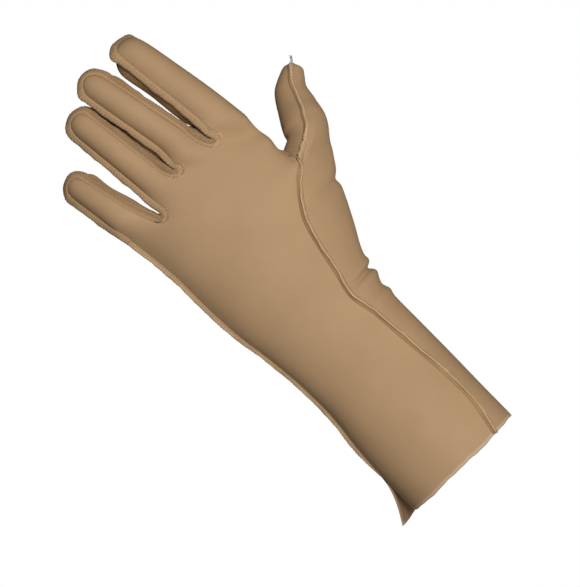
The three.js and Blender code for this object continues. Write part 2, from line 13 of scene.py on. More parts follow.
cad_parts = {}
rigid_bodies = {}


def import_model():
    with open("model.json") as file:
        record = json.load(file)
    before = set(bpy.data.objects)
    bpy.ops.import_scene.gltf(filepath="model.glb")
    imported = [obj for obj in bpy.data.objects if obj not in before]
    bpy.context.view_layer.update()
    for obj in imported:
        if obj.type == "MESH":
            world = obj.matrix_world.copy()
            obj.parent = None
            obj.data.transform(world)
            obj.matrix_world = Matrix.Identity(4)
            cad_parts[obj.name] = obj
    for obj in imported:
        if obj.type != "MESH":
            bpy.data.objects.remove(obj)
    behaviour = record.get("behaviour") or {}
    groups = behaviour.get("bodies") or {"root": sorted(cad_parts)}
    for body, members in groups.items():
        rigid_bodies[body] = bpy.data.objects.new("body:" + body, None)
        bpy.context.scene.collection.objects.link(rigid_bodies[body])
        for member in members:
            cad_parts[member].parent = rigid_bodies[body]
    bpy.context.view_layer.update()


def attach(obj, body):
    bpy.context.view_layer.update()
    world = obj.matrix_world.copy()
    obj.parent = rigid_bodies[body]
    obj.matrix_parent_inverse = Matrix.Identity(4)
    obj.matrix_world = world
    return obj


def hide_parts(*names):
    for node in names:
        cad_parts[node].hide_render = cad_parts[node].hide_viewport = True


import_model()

bl_info = {
    "name": "Compression glove",
    "version": (1, 0, 0),
    "blender": (4, 5, 0),
    "location": "View3D > Sidebar > Glove",
    "description": "Builds a worn compression glove from its sewing lines, with its seams and stitches",
    "category": "Mesh",
}

MM = 0.001
IMAGE_WIDTH = 580
IMAGE_HEIGHT = 587


def table(columns, *rows):
    """Rows with named columns."""
    names = columns.split()
    return [dict(zip(names, row)) for row in rows]


# The sewing lines, in millimetres. Z runs from the cuff to the fingertips, X to the thumb, -Y out of the
# back of the hand. Sections of the wrist and hand up to the thumb's crotch:
WRIST_SECTIONS = table(
    "z ulnar seam radial back palm ulnar_y radial_y thenar tilt rows",
    (0, -32.1, 21.5, 33.3, -27.0, 27.0, 0.0, 0.0, 0.0, 0.0, 2),
    (20, -32.0, 24.8, 33.3, -26.0, 26.5, 0.0, 0.0, 0.0, 0.0, 2),
    (40, -31.0, 24.4, 33.5, -24.5, 25.0, 0.0, 0.0, 0.0, 0.0, 2),
    (60, -29.0, 22.6, 33.5, -22.5, 22.5, 0.0, 0.0, 0.0, 0.0, 2),
    (80, -29.3, 21.0, 33.5, -20.5, 20.0, 0.0, 1.0, 0.0, 0.0, 5),
    (94, -30.6, 18.6, 34.5, -19.5, 18.5, 1.0, 2.0, 0.05, 0.0, 4),
    (106, -32.2, 21.2, 37.6, -19.0, 17.0, 1.5, 4.0, 0.15, 0.5, 2),
    (120, -34.6, 24.0, 44.3, -18.5, 15.5, 2.0, 7.0, 0.3, 2.0, 2),
    (135, -35.6, 28.2, 50.8, -18.0, 14.0, 2.6, 10.0, 0.35, 4.0, 2),
    (148, -35.9, 37.0, 55.6, -17.2, 13.0, 3.0, 12.0, 0.3, 6.0, 2),
    (156.6, -36.1, 46.0, 62.0, -16.7, 12.5, 3.0, 13.0, 0.2, 5.6, 2),
)
SECTION_FULLNESS = 2.08
ULNAR_SEAM_TURN = 0.2
ULNAR_PALM_TURN = 0.4
THENAR_PLACE = 0.5
THENAR_SPREAD = 0.35
# The hand between the thumb's crotch and the finger crotches
HAND_SECTIONS = table(
    "z ulnar radial back palm ulnar_y radial_y seam_turn palm_turn rows",
    (165, -36.7, 43.4, -16.4, 11.8, 3.0, 0.0, -0.05, -0.95, 2),
    (176, -38.0, 43.4, -16.0, 10.8, 3.0, 0.0, -0.5, -1.15, 2),
)
SECTIONS = [*WRIST_SECTIONS, *HAND_SECTIONS]
# Crotches from the little finger's outer side to the index finger's outer side
CROTCHES = table(
    "x back_y back_z palm_y palm_z rise",
    (-39.0, -1.5, 186, 4.5, 187, 0),
    (-19.0, -10.5, 183.4, 1.5, 186, 2),
    (1.0, -13.0, 192.2, -0.5, 196, 10),
    (23.5, -12.5, 189, 0.0, 193, 15),
    (42.2, 5.5, 189, 8.0, 190, 0),
)
WEB_HALF = 1.9
WEB_SAG = 1.2
WEB_PINCH = 0.8
PALM_PAD = 5.5
FINGERS = table(
    "name base tip radius tip_radius knuckle corner ulnar_seam radial_seam ulnar_wall radial_wall",
    (
        "little", (-30.2, -3.0, 186), (-38.3, 8, 226.6), 8.8, 7.0, 3.5, (5, 6.5), 170, 46,
        (0.6, 1.3, 0.6), (1.1, 0.4, 1.6),
    ),
    (
        "ring", (-9.2, -5.0, 193), (-15.8, 6, 247.3), 8.0, 7.2, 2.5, (6, 6), 170, 36,
        (2.0, 1.1, 0.8), (3.6, 2.7, 2.9),
    ),
    (
        "middle", (12.2, -7.5, 195), (0.3, 2, 256.7), 7.9, 7.1, 3.0, (5.5, 10), 162, 20,
        (3.4, 2.2, 2.8), (0.2, 0.9, 2.9),
    ),
    (
        "index", (33.2, -5.5, 192), (23.9, 5, 257.2), 10.1, 8.3, 9.3, (5, 1.5), 135, -48,
        (1.2, 1.9, 3.2), (0, 0, 0),
    ),
)
# Where a finger's wall swells out beyond its seams: spread and drop towards the palm, in radians
WALL_SPREAD = 0.75
WALL_DROP = 0.25
FINGER_STATIONS = table(
    "along round wall share rows",
    (0.24, 1.0, 0, 1.0, 2),
    (0.6, 1.0, 1, 1.0, 3),
    (0.86, 0.93, 2, 1.0, 2),
    (0.965, 0.6, 2, 0.1, 1),
    (1.0, 0.0, 2, 0.0, 1),
)
FINGER_BOW = 1.2
THUMB_STATIONS = table(
    "centre radius seam rows",
    ((59.4, 13.0, 166.2), 11.0, 84, 2),
    ((63.5, 20.0, 176.0), 9.8, 77, 2),
    ((67.5, 24.5, 184.7), 7.9, 82, 2),
    ((73.2, 27.0, 189.3), 5.9, 100, 1),
    ((76.1, 28.2, 191.3), 4.3, 112, 1),
)
THUMB_START = (53.5, 6.0, 154.5)
THUMB_TIP = (77.1, 28.8, 192.2)
THUMB_TIP_ROWS = 1
THUMB_ARC = 252
THUMB_WEB_OUT = -4.5
THUMB_WEB_IN = 3.0
THUMB_WEB_UP = 8.5
THUMB_WEB_LIFT = 3.5
THUMB_SEAM_BOW = 3.0
THUMB_BOW_LINES = 5
THUMB_PALM_SHARE = 0.95
THUMB_LEAST_TURN = 0.6

# Folds on the thumb side of the wrist: push out (+) or in (-), half width, and slant over the fold's run
FOLDS = table(
    "z push half slant",
    (138.0, -1.4, 2.2, 3.0),
    (143.5, 0.5, 3.0, 3.0),
    (100.4, 1.0, 2.0, 2.0),
    (97.2, -1.8, 1.3, 2.0),
    (93.6, 1.3, 2.4, 1.5),
    (87.5, -0.6, 2.0, 1.0),
    (83.1, 0.8, 2.2, 0.5),
)
FOLD_SPREAD = 0.95
FOLD_MIDDLE = 0.4

# The palm panel's corner turns out where the outer seam is left open at the cuff
FLARE_HEIGHT = 23
FLARE_REACH = 9.4
FLARE_DROP = 1.5
FLARE_SHARE = 0.35
FLARE_CURL = 1.9
# The cut hem: ripples round the cuff by size, length and phase, on a circle of this radius, how far the hem
# hangs, how far up it ripples and how far up its distance is told
HEM_RADIUS = 30
HEM_RIPPLES = ((0.25, 41, 0.3), (0.16, 17.5, 1.1), (0.08, 7.9, 0.4))
HEM_DROP = 0.3
HEM_REACH = 9
HEM_FADE = 40
# A panel's rim: how far it rounds out, as a share of the wall, and how much of the inner face's painted shade
# it has
RIM_ROUND = 0.3
RIM_INNER_SHADE = 0.4

# Grid: cells across a finger's back, across a web, round the thumb and down the sides, steps for each row
BACK_CELLS = 18
WEB_CELLS = 3
THUMB_CELLS = 27
SIDE_CELLS = (3, 3, 3, 3, 6)
ROW_STEPS = 6
THUMB_SIDE = len(FINGERS)
PALM_CELLS = [BACK_CELLS - SIDE_CELLS[k] - SIDE_CELLS[k + 1] for k in range(THUMB_SIDE)]
BACK_LAST = THUMB_SIDE * BACK_CELLS + (THUMB_SIDE - 1) * WEB_CELLS
PALM_LAST = sum(PALM_CELLS) + (THUMB_SIDE - 1) * WEB_CELLS
JOIN_STEPS = 500
RELAX_ROUNDS = 14
RELAX_STEPS = (0.5, -0.53)
# The back is drawn taut between these heights
TAUT_FROM = 112
TAUT_TO = 196
TAUT_EDGE = 42
TAUT_EASE = 14
TAUT_ROUNDS = 220
TAUT_STEP = 0.5
# Where the bands of cells start in the knit: wale of the first line, and millimetres up to the first row
PALM_WALE = 100
THUMB_WALE = 200
THUMB_WEB_WALE = 240
HAND_WEB_WALE = 260
FINGER_WEB_WALE = 300
THUMB_COURSE = 160
KNUCKLE_COURSE = 190

# Cross-section of a seam's standing edge: across in millimetres, up as a share of its height. The first half
# stands steep, and the second half slopes out on the cloth.
FLANGE_PROFILE = (
    (-1.5, 0.012), (-1.05, 0.07), (-0.78, 0.2), (-0.65, 0.42), (-0.56, 0.68), (-0.42, 0.88), (-0.18, 0.99),
    (0.0, 0.97),
    (0.2, 0.99), (0.45, 0.91), (0.7, 0.76), (1.0, 0.56), (1.35, 0.34), (1.75, 0.16), (2.2, 0.0), (2.7, -0.3),
)
FLANGE_FOOT = 0.8
FLANGE_WIDTH = 1.2
LEAN_CURVE = 1.5


def back_start(finger):
    """First back line of a finger."""
    return finger * (BACK_CELLS + WEB_CELLS)


def palm_start(finger):
    """First palm line of a finger: these lines run from the index finger to the little finger."""
    return sum(count + WEB_CELLS for count in PALM_CELLS[finger + 1:])


def mix(a, b, share):
    return a + (b - a) * share


def unit(vectors):
    length = np.linalg.norm(vectors, axis=-1, keepdims=True)
    return vectors / np.maximum(length, 1e-9)


def spline_rows(stations, first, counts):
    """Points of a line: counts[i] steps over the span that starts at station first + i."""
    points = np.array(stations, float)
    ends = (2 * points[:1] - points[1:2], 2 * points[-1:] - points[-2:-1])
    padded = np.vstack([ends[0], points, ends[1]])
    rows = [points[first:first + 1]]
    for i, count in enumerate(counts):
        before, a, b, after = padded[first + i:first + i + 4]
        s = (np.arange(count) + 1)[:, None] / count
        rows.append(
            (
                before * (-s + 2 * s**2 - s**3)
                + a * (2 - 5 * s**2 + 3 * s**3)
                + b * (s + 4 * s**2 - 3 * s**3)
                + after * (-(s**2) + s**3)
            )
            / 2
        )
    return np.vstack(rows)


def section_point(section, angle):
    """Point of a cross-section: angle 0 is the thumb-side edge, positive angles run over the back."""
    middle = (section["ulnar"] + section["radial"]) / 2
    half = (section["radial"] - section["ulnar"]) / 2
    power = 2 / SECTION_FULLNESS
    across = math.copysign(abs(math.cos(angle)) ** power, math.cos(angle))
    height = abs(math.sin(angle)) ** power
    edge = (section["ulnar_y"] if across < 0 else section["radial_y"]) * across * across
    swell = 1 + section.get("thenar", 0) * math.exp(-(((across - THENAR_PLACE) / THENAR_SPREAD) ** 2))
    y = section["back"] * height if math.sin(angle) > 0 else section["palm"] * height * swell
    return np.array((middle + half * across, edge + y, section["z"]))


def seam_angle(section):
    """Angle at which the back panel ends on the thumb side of a section."""
    if "seam_turn" in section:
        return section["seam_turn"]
    middle = (section["ulnar"] + section["radial"]) / 2
    across = (section["seam"] - middle) / ((section["radial"] - section["ulnar"]) / 2)
    return math.acos(math.copysign(abs(across) ** (SECTION_FULLNESS / 2), across))


def palm_angle(section):
    """Angle at which the palm's own lines start on the thumb side of a section."""
    if "palm_turn" in section:
        return section["palm_turn"]
    return -max(seam_angle(section), THUMB_LEAST_TURN) * THUMB_PALM_SHARE


def crotch_station(crotch, side, share):
    """Point of a web: side runs from -1 to 1 across it, share from the back to the palm."""
    c = CROTCHES[crotch]
    is_web = 0 < crotch < THUMB_SIDE
    pinch = 1 - WEB_PINCH * math.sin(math.pi * share)
    x = c["x"] + (side * WEB_HALF * pinch if is_web else 0)
    rise = c["rise"] * math.sin(math.pi * share) - WEB_SAG * (1 - side * side) if is_web else 0
    return np.array((x, mix(c["back_y"], c["palm_y"], share), mix(c["back_z"], c["palm_z"], share) + rise))


def crotch_back_station(line):
    finger = min(line // (BACK_CELLS + WEB_CELLS), THUMB_SIDE - 1)
    place = line - back_start(finger)
    if place > BACK_CELLS:
        return crotch_station(finger + 1, 2 * (place - BACK_CELLS) / WEB_CELLS - 1, 0)
    share = place / BACK_CELLS
    a, b = crotch_station(finger, 1, 0), crotch_station(finger + 1, -1, 0)
    out = unit(np.array((b[1] - a[1], a[0] - b[0], 0)))
    return mix(a, b, share) + out * FINGERS[finger]["knuckle"] * math.sin(math.pi * share)


def crotch_palm_station(line):
    finger = next(k for k in range(THUMB_SIDE) if line >= palm_start(k))
    place = line - palm_start(finger)
    if place > PALM_CELLS[finger]:
        return crotch_station(finger, 1 - 2 * (place - PALM_CELLS[finger]) / WEB_CELLS, 1)
    share = place / PALM_CELLS[finger]
    point = mix(crotch_station(finger + 1, -1, 1), crotch_station(finger, 1, 1), share)
    point[1] += PALM_PAD * math.sin(math.pi * share)
    return point


def finger_station(finger, line, station):
    """Point of a finger's skin: line counts round the finger from its outer seam over the back."""
    base, tip = np.array(finger["base"]), np.array(finger["tip"])
    length = np.linalg.norm(tip - base)
    axis = (tip - base) / length
    radial_way = unit(np.array((axis[2], 0, -axis[0])))
    back_way = np.cross(radial_way, axis)
    ulnar, radial = math.radians(finger["ulnar_seam"]), math.radians(finger["radial_seam"])
    on_back = line <= BACK_CELLS
    place = line / BACK_CELLS if on_back else 2 - line / BACK_CELLS
    angle = mix(ulnar if on_back else ulnar - 2 * math.pi, radial, place)
    drop = mix(*finger["corner"], place) * (1 - math.sin(math.pi * place))
    along = station["along"] * (length - drop)
    radius = mix(finger["radius"], finger["tip_radius"], station["along"])
    ring = np.array((math.cos(angle), math.sin(angle)))
    seam_a = np.array((math.cos(ulnar), math.sin(ulnar)))
    seam_b = np.array((math.cos(radial), math.sin(radial)))
    flat = mix(seam_a, seam_b, (1 - math.cos(math.pi * place)) / 2)
    across, up = radius * mix(flat, ring, station["round"])
    if not on_back:
        away = {1: angle + WALL_DROP, -1: angle + math.pi - WALL_DROP}
        for side, column in ((1, "radial_wall"), (-1, "ulnar_wall")):
            swell = finger[column][station["wall"]] * station["share"]
            across += side * swell * math.exp(-((away[side] / WALL_SPREAD) ** 2))
    bow = FINGER_BOW * math.sin(math.pi * station["along"])
    return base + axis * along + radial_way * across + back_way * (up + bow)


def thumb_station(index, degrees):
    """Point of the thumb's skin: degrees run from the seam towards the back of the hand."""
    centres = [THUMB_START, *(s["centre"] for s in THUMB_STATIONS), THUMB_TIP]
    station = THUMB_STATIONS[index]
    axis = unit(np.array(centres[index + 2]) - np.array(centres[index]))
    outward = unit(np.array((axis[2], 0, -axis[0])))
    backward = np.cross(outward, axis)
    angle = math.radians(station["seam"] + degrees)
    ring = outward * math.cos(angle) + backward * math.sin(angle)
    return np.array(station["centre"]) + station["radius"] * ring


class Skin:
    """The glove's outer face: a welded grid of cells by panel, and the lines that the seams follow."""

    def __init__(self):
        self.index = {}
        self.points = []
        self.cells = {"back": [], "palm": []}
        self.weave = {"back": [], "palm": []}
        self.fold_weight = {}
        self.flare_weight = {}
        self.seams = {}
        self.corners = {}

    def ids(self, line):
        """Numbers of a line's points, where points that fall together share a number."""
        found = []
        for point, key in zip(line, np.round(line * JOIN_STEPS).astype(int)):
            key = tuple(key)
            if key not in self.index:
                self.index[key] = len(self.points)
                self.points.append(point)
            found.append(self.index[key])
        return found

    def add_band(self, panel, lines, first_line=0, first_row=0.0):
        """Cells between neighbouring lines, with their place in the cloth in wales and millimetres."""
        band = np.array(lines)
        steps = np.linalg.norm(np.diff(band, axis=1), axis=2).mean(0)
        rows = first_row + np.concatenate([[0], np.cumsum(steps)])
        numbers = [self.ids(line) for line in band]
        for i, (a, b) in enumerate(zip(numbers, numbers[1:])):
            left, right = first_line + i, first_line + i + 1
            for r in range(len(a) - 1):
                corners = [a[r], b[r], b[r + 1], a[r + 1]]
                places = [(left, rows[r]), (right, rows[r]), (right, rows[r + 1]), (left, rows[r + 1])]
                kept = [n for n in range(4) if corners[n] != corners[n - 1]]
                if len(kept) > 2:
                    kept = (kept + kept[-1:])[:4]
                    self.cells[panel].append([corners[n] for n in kept])
                    self.weave[panel].append([places[n] for n in kept])

    def close(self):
        """Turns the lists into arrays, once all bands are in."""
        self.points = np.array(self.points)
        self.cells = {panel: np.array(cells) for panel, cells in self.cells.items()}
        self.all_cells = np.vstack([self.cells["back"], self.cells["palm"]])

    def normals(self):
        corner = self.points[self.all_cells]
        facing = np.cross(corner[:, 2] - corner[:, 0], corner[:, 3] - corner[:, 1])
        total = np.zeros_like(self.points)
        for n in range(4):
            np.add.at(total, self.all_cells[:, n], facing)
        return unit(total)

    def edges(self):
        pairs = np.vstack([np.stack([self.all_cells[:, n - 1], self.all_cells[:, n]], 1) for n in range(4)])
        pairs = np.unique(np.sort(pairs, axis=1), axis=0)
        return pairs[pairs[:, 0] != pairs[:, 1]]

    def pulls(self, rounds):
        """The way from each point to the middle of its neighbours, anew in each round."""
        a, b = self.edges().T
        count = np.bincount(np.concatenate([a, b]), minlength=len(self.points))[:, None]
        for _ in range(rounds):
            total = np.zeros_like(self.points)
            np.add.at(total, a, self.points[b])
            np.add.at(total, b, self.points[a])
            yield total / count - self.points

    def relax(self, rounds, held):
        """Evens out the cloth without shrinking it, apart from the held points."""
        for step, pull in enumerate(self.pulls(2 * rounds)):
            pull[held] = 0
            self.points = self.points + pull * RELAX_STEPS[step % 2]

    def spread(self, rounds, loose):
        """Draws the cloth taut over the loose points, between the others."""
        for pull in self.pulls(rounds):
            self.points = self.points + pull * TAUT_STEP * loose[:, None]

    def fold(self):
        """Presses the folds into the thumb side of the wrist."""
        ids = np.array(list(self.fold_weight))
        weight, share = np.array(list(self.fold_weight.values())).T
        z = self.points[ids, 2]
        push = np.zeros(len(ids))
        for fold in FOLDS:
            place = fold["z"] + fold["slant"] * (share - FOLD_MIDDLE)
            push += fold["push"] * np.exp(-(((z - place) / fold["half"]) ** 2))
        self.points[ids] += self.normals()[ids] * (push * weight)[:, None]


def counted(rows):
    return [ROW_STEPS * count for count in rows]


def body_lines():
    """Lines of the wrist and hand, from the cuff to the row of knuckles."""
    wrist_rows = counted(s["rows"] for s in WRIST_SECTIONS[:-1])
    hand_rows = counted(s["rows"] for s in [WRIST_SECTIONS[-1], *HAND_SECTIONS])
    thumb_rows = counted([*(s["rows"] for s in THUMB_STATIONS), THUMB_TIP_ROWS])
    ulnar_start, ulnar_end = math.pi - ULNAR_SEAM_TURN, -(math.pi - ULNAR_PALM_TURN)
    back = [
        [section_point(s, mix(ulnar_start, seam_angle(s), line / BACK_LAST)) for s in SECTIONS]
        + [crotch_back_station(line)]
        for line in range(BACK_LAST + 1)
    ]
    palm = [
        [section_point(s, mix(palm_angle(s), ulnar_end, line / PALM_LAST)) for s in SECTIONS]
        + [crotch_palm_station(line)]
        for line in range(PALM_LAST + 1)
    ]
    outer = []
    for line in range(SIDE_CELLS[0] + 1):
        share = line / SIDE_CELLS[0]
        angle = mix(ulnar_end, -(math.pi + ULNAR_SEAM_TURN), share)
        outer.append([*(section_point(s, angle) for s in SECTIONS), crotch_station(0, 0, 1 - share)])
    outer[0], outer[-1] = palm[PALM_LAST], back[0]
    web = []
    last = len(WRIST_SECTIONS) - 1
    for line in range(SIDE_CELLS[THUMB_SIDE] + 1):
        share = line / SIDE_CELLS[THUMB_SIDE]
        bulge = math.sin(math.pi * share)
        start = mix(back[BACK_LAST][last], palm[0][last], share)
        start = start + np.array((THUMB_WEB_OUT, THUMB_WEB_IN, THUMB_WEB_UP)) * bulge
        hand = [section_point(s, mix(seam_angle(s), palm_angle(s), share)) for s in HAND_SECTIONS]
        hand[0][2] += THUMB_WEB_LIFT * bulge
        web.append([start, *hand, crotch_station(THUMB_SIDE, 0, share)])
    stations = {"back": back, "palm": palm, "outer": outer, "web": web}
    body_rows = wrist_rows + hand_rows
    lines = {}
    for name in ("back", "palm", "outer"):
        lines[name] = [spline_rows(line, 0, body_rows) for line in stations[name]]
    wrist_count = sum(wrist_rows)
    lines["web"] = [spline_rows(s, 0, hand_rows) for s in web]
    lines["web"][0] = lines["back"][BACK_LAST][wrist_count:]
    lines["web"][-1] = lines["palm"][0][wrist_count:]
    thumb = []
    for line in range(THUMB_CELLS + 1):
        share = line / THUMB_CELLS
        wrist = []
        for section in WRIST_SECTIONS:
            point = section_point(section, mix(seam_angle(section), palm_angle(section), share))
            point[2] -= section["tilt"] * math.sin(math.pi * share)
            wrist.append(point)
        ring = [thumb_station(i, -THUMB_ARC * share) for i in range(len(THUMB_STATIONS))]
        thumb.append(spline_rows([*wrist, *ring, np.array(THUMB_TIP)], 0, wrist_rows + thumb_rows))
    lines["back"][BACK_LAST][:wrist_count + 1] = thumb[0][:wrist_count + 1]
    thumb[-1][:wrist_count + 1] = lines["palm"][0][:wrist_count + 1]
    lines["thumb"] = thumb
    lines["thumb_web"] = []
    for line, start in enumerate(lines["web"]):
        turn = (360 - THUMB_ARC) * line / SIDE_CELLS[THUMB_SIDE]
        ring = [thumb_station(i, turn) for i in range(len(THUMB_STATIONS))]
        lines["thumb_web"].append(spline_rows([start[0], *ring, np.array(THUMB_TIP)], 0, thumb_rows))
    lines["thumb_web"][0] = thumb[0][wrist_count:]
    lines["thumb_web"][-1] = thumb[-1][wrist_count:]
    bow = THUMB_SEAM_BOW * np.sin(math.pi * np.arange(thumb_rows[0] + 1) / thumb_rows[0])
    beside = [(line, rows[wrist_count:]) for line, rows in enumerate(thumb)]
    beside += list(enumerate(lines["thumb_web"]))[1:-1]
    for line, rows in beside:
        rows[:thumb_rows[0] + 1, 0] += bow * math.exp(-((line / THUMB_BOW_LINES) ** 2))
    return stations, lines, wrist_count


def finger_lines(k, stations):
    """Lines of the body that run on round a finger, from its outer seam over the back and round the palm."""
    rows = counted(s["rows"] for s in FINGER_STATIONS)
    ring = []
    for line in range(2 * BACK_CELLS):
        radial_side = line - BACK_CELLS
        palm_side = radial_side - SIDE_CELLS[k + 1]
        ulnar_side = palm_side - PALM_CELLS[k]
        if line <= BACK_CELLS:
            body = stations["back"][back_start(k) + line][-2:]
        elif palm_side < 0 and k + 1 == THUMB_SIDE:
            body = stations["web"][radial_side][-2:]
        elif palm_side < 0:
            body = [crotch_station(k + 1, -1, radial_side / SIDE_CELLS[k + 1])]
        elif ulnar_side <= 0:
            body = stations["palm"][palm_start(k) + palm_side][-2:]
        elif k == 0:
            body = stations["outer"][ulnar_side][-2:]
        else:
            body = [crotch_station(k, 1, 1 - ulnar_side / SIDE_CELLS[k])]
        skin = [finger_station(FINGERS[k], line, station) for station in FINGER_STATIONS]
        ring.append(spline_rows([*body, *skin], len(body) - 1, rows))
    return ring + ring[:1]


@lru_cache(maxsize=1)
def glove_skin():
    """The whole outer face, evened out and folded, with the seam lines by name."""
    skin = Skin()
    stations, lines, wrist_count = body_lines()
    skin.add_band("back", lines["back"])
    skin.add_band("palm", lines["thumb"], THUMB_WALE)
    skin.add_band("palm", lines["thumb_web"][::-1], THUMB_WEB_WALE, THUMB_COURSE)
    skin.add_band("palm", lines["web"], HAND_WEB_WALE, THUMB_COURSE)
    skin.add_band("palm", lines["palm"], PALM_WALE)
    skin.add_band("palm", lines["outer"], PALM_WALE + PALM_LAST)
    rings = [finger_lines(k, stations) for k in range(THUMB_SIDE)]
    for k, ring in enumerate(rings):
        skin.add_band("back", ring[:BACK_CELLS + 1], back_start(k), KNUCKLE_COURSE)
        skin.add_band("palm", ring[BACK_CELLS:], PALM_WALE + palm_start(k), KNUCKLE_COURSE)
    sides = [2 * j / WEB_CELLS - 1 for j in range(WEB_CELLS + 1)]
    webs = {}
    for crotch in range(1, THUMB_SIDE):
        shares = [i / SIDE_CELLS[crotch] for i in range(SIDE_CELLS[crotch] + 1)]
        web = [np.array([crotch_station(crotch, side, share) for share in shares]) for side in sides]
        skin.add_band("palm", web, FINGER_WEB_WALE, KNUCKLE_COURSE)
        webs[crotch] = skin.ids(np.array([line[0] for line in web]))
    back_ids = [skin.ids(line) for line in lines["back"]]
    hem = [row[0] for row in back_ids]
    for name in ("palm", "outer", "thumb"):
        hem += [skin.ids(line)[0] for line in lines[name]]
    for line, points in enumerate(lines["thumb"]):
        share = line / THUMB_CELLS
        for number in skin.ids(points)[1:]:
            skin.fold_weight[number] = (math.sin(math.pi * share) ** FOLD_SPREAD, share)
    for line, points in enumerate(lines["outer"]):
        for number in skin.ids(points):
            skin.flare_weight[number] = mix(FLARE_SHARE, 1, line / SIDE_CELLS[0])
    for step in range(1, SIDE_CELLS[0]):
        for number in skin.ids(lines["palm"][PALM_LAST - step]):
            skin.flare_weight[number] = FLARE_SHARE * (1 - step / SIDE_CELLS[0])
    skin.seams["outer_side"] = [n for n in back_ids[0] if skin.points[n][2] >= FLARE_HEIGHT]
    half = WEB_CELLS // 2 + 1
    for k, ring in enumerate(rings):
        numbers = [skin.ids(line) for line in ring[:BACK_CELLS + 1]]
        path = numbers[0] + [line[-1] for line in numbers[1:-1]] + numbers[-1][::-1]
        if k > 0:
            path = webs[k][-half - 1:-1] + path
        skin.corners[FINGERS[k]["name"]] = (numbers[0][-1], numbers[-1][-1])
        if k + 1 < THUMB_SIDE:
            path = path + webs[k + 1][1:half + 1]
        else:
            path = path + back_ids[BACK_LAST][wrist_count:-1][::-1]
        skin.seams[FINGERS[k]["name"]] = path
    skin.seams["thumb"] = skin.ids(lines["thumb"][0])[wrist_count:]
    skin.seams["wrist"] = back_ids[BACK_LAST][:wrist_count + 1]
    skin.close()
    skin.relax(RELAX_ROUNDS, hem)
    z = skin.points[:, 2]
    loose = np.clip((z - TAUT_FROM) / TAUT_EASE, 0, 1) * np.clip((TAUT_TO - z) / TAUT_EASE, 0, 1)
    loose *= np.clip((TAUT_EDGE - skin.points[:, 0]) / TAUT_EASE, 0, 1)
    loose[np.unique(skin.cells["palm"])] = 0
    skin.spread(TAUT_ROUNDS, loose)
    skin.fold()
    skin.facing = skin.normals()
    return skin


def wave(along, *terms):
    """A smooth uneven line: a sum of waves, each given by its size, length and phase."""
    return sum(size * np.sin(2 * math.pi * along / length + phase) for size, length, phase in terms)


def smoothed(values, rounds):
    for _ in range(rounds):
        inner = (values[:-2] + 2 * values[1:-1] + values[2:]) / 4
        values = np.concatenate([values[:1], inner, values[-1:]])
    return values


# How often a seam's line, its facing and the cloth's directions beside it are smoothed
LINE_ROUNDS = 2
FACING_ROUNDS = 6
SLOPE_ROUNDS = 3


@lru_cache(maxsize=None)
def seam_path(name):
    """Places, facings and the cloth's directions on either side along a seam."""
    skin = glove_skin()
    ids = np.array(skin.seams[name])
    on_path = set(ids)
    near = {n: set() for n in ids}
    for a, b in skin.edges():
        if a in on_path and b not in on_path:
            near[a].add(b)
        if b in on_path and a not in on_path:
            near[b].add(a)
    points = smoothed(skin.points[ids], LINE_ROUNDS)
    up = unit(smoothed(skin.facing[ids], FACING_ROUNDS))
    way = unit(np.gradient(points, axis=0))
    side = unit(np.cross(way, up))
    slopes = {-1: [], 1: []}
    for i, number in enumerate(ids):
        found = {-1: [], 1: []}
        for other in near[number]:
            step = skin.points[other] - points[i]
            found[1 if step @ side[i] > 0 else -1].append(step - way[i] * (step @ way[i]))
        for hand in (-1, 1):
            steps = found[hand]
            slopes[hand].append(unit(np.mean(steps, 0)) if steps else side[i] * hand)
    slopes = {hand: unit(smoothed(np.array(ways), SLOPE_ROUNDS)) for hand, ways in slopes.items()}
    lengths = np.linalg.norm(np.diff(points, axis=0), axis=1)
    along = np.concatenate([[0], np.cumsum(lengths)])
    return {"points": points, "up": up, "side": side, "slopes": slopes, "along": along}


SEAM_ORDER = ("outer_side", "little", "ring", "middle", "index", "thumb", "wrist")
# How far a seam stands up at the outer and inner corner of a fingertip, and along what reach
EAR_REACH = 3.0
CORNER_EARS = {"little": (0.1, 0.05), "ring": (0.1, 0.1), "middle": (0.15, 0.05), "index": (0.5, 0.35)}
# How plainly needle marks and needle thread show on the first and second half of a seam, how far its
# standing edge leans, how much painted highlight (+) or painted shade (-) is on its crest and how far its
# slope reaches
SEAM_MARKS = {
    row["name"]: row
    for row in table(
        "name first_mark second_mark first_thread second_thread lean crest slope",
        ("outer_side", 0.55, 0.55, 0.4, 0.4, 0.0, 0.35, 0.3),
        ("little", 0.4, 0.75, 0.25, 0.15, -0.45, -1.0, 0.85),
        ("ring", 0.5, 0.9, 0.3, 0.15, -0.45, -1.0, 0.6),
        ("middle", 0.55, 1.0, 0.3, 0.15, -0.45, -1.0, 0.6),
        ("index", 0.5, 0.45, 0.35, 0.2, -0.45, -1.0, 0.6),
        ("thumb", 0.25, 0.15, 0.15, 0.1, 0.0, 1.0, 0.45),
        ("wrist", 0.0, 0.0, 0.0, 0.0, -0.5, 1.0, 0.6),
    )
}
# How a seam's height and lean vary along it: waves by size, length and phase, where each seam has a phase of
# its own and the last column says how many times it counts
SEAM_PHASE = 1.7
HEIGHT_WAVES = ((0.05, 17, 1), (0.04, 6.3, 2))
LEAN_WAVES = ((0.28, 24, 1), (0.14, 8.7, 3))
# Which ends of a finger's seam lie low in a crotch
CROTCH_ENDS = {"little": (0, 1), "ring": (1, 1), "middle": (1, 1), "index": (1, 1)}
# Seams that rise from their start: share of the height there and further on, and the reach of the rise
SEAM_RISES = {"outer_side": (0.15, 0.7, 14), "little": (0.7, 1, 25)}
# On the thumb's side, the index finger's seam lies folded to the palm near this height
INDEX_FOLD_Z = 176
INDEX_FOLD_HALF = 22
INDEX_FOLD_DROP = 0.8
INDEX_FOLD_LEAN = 1.2
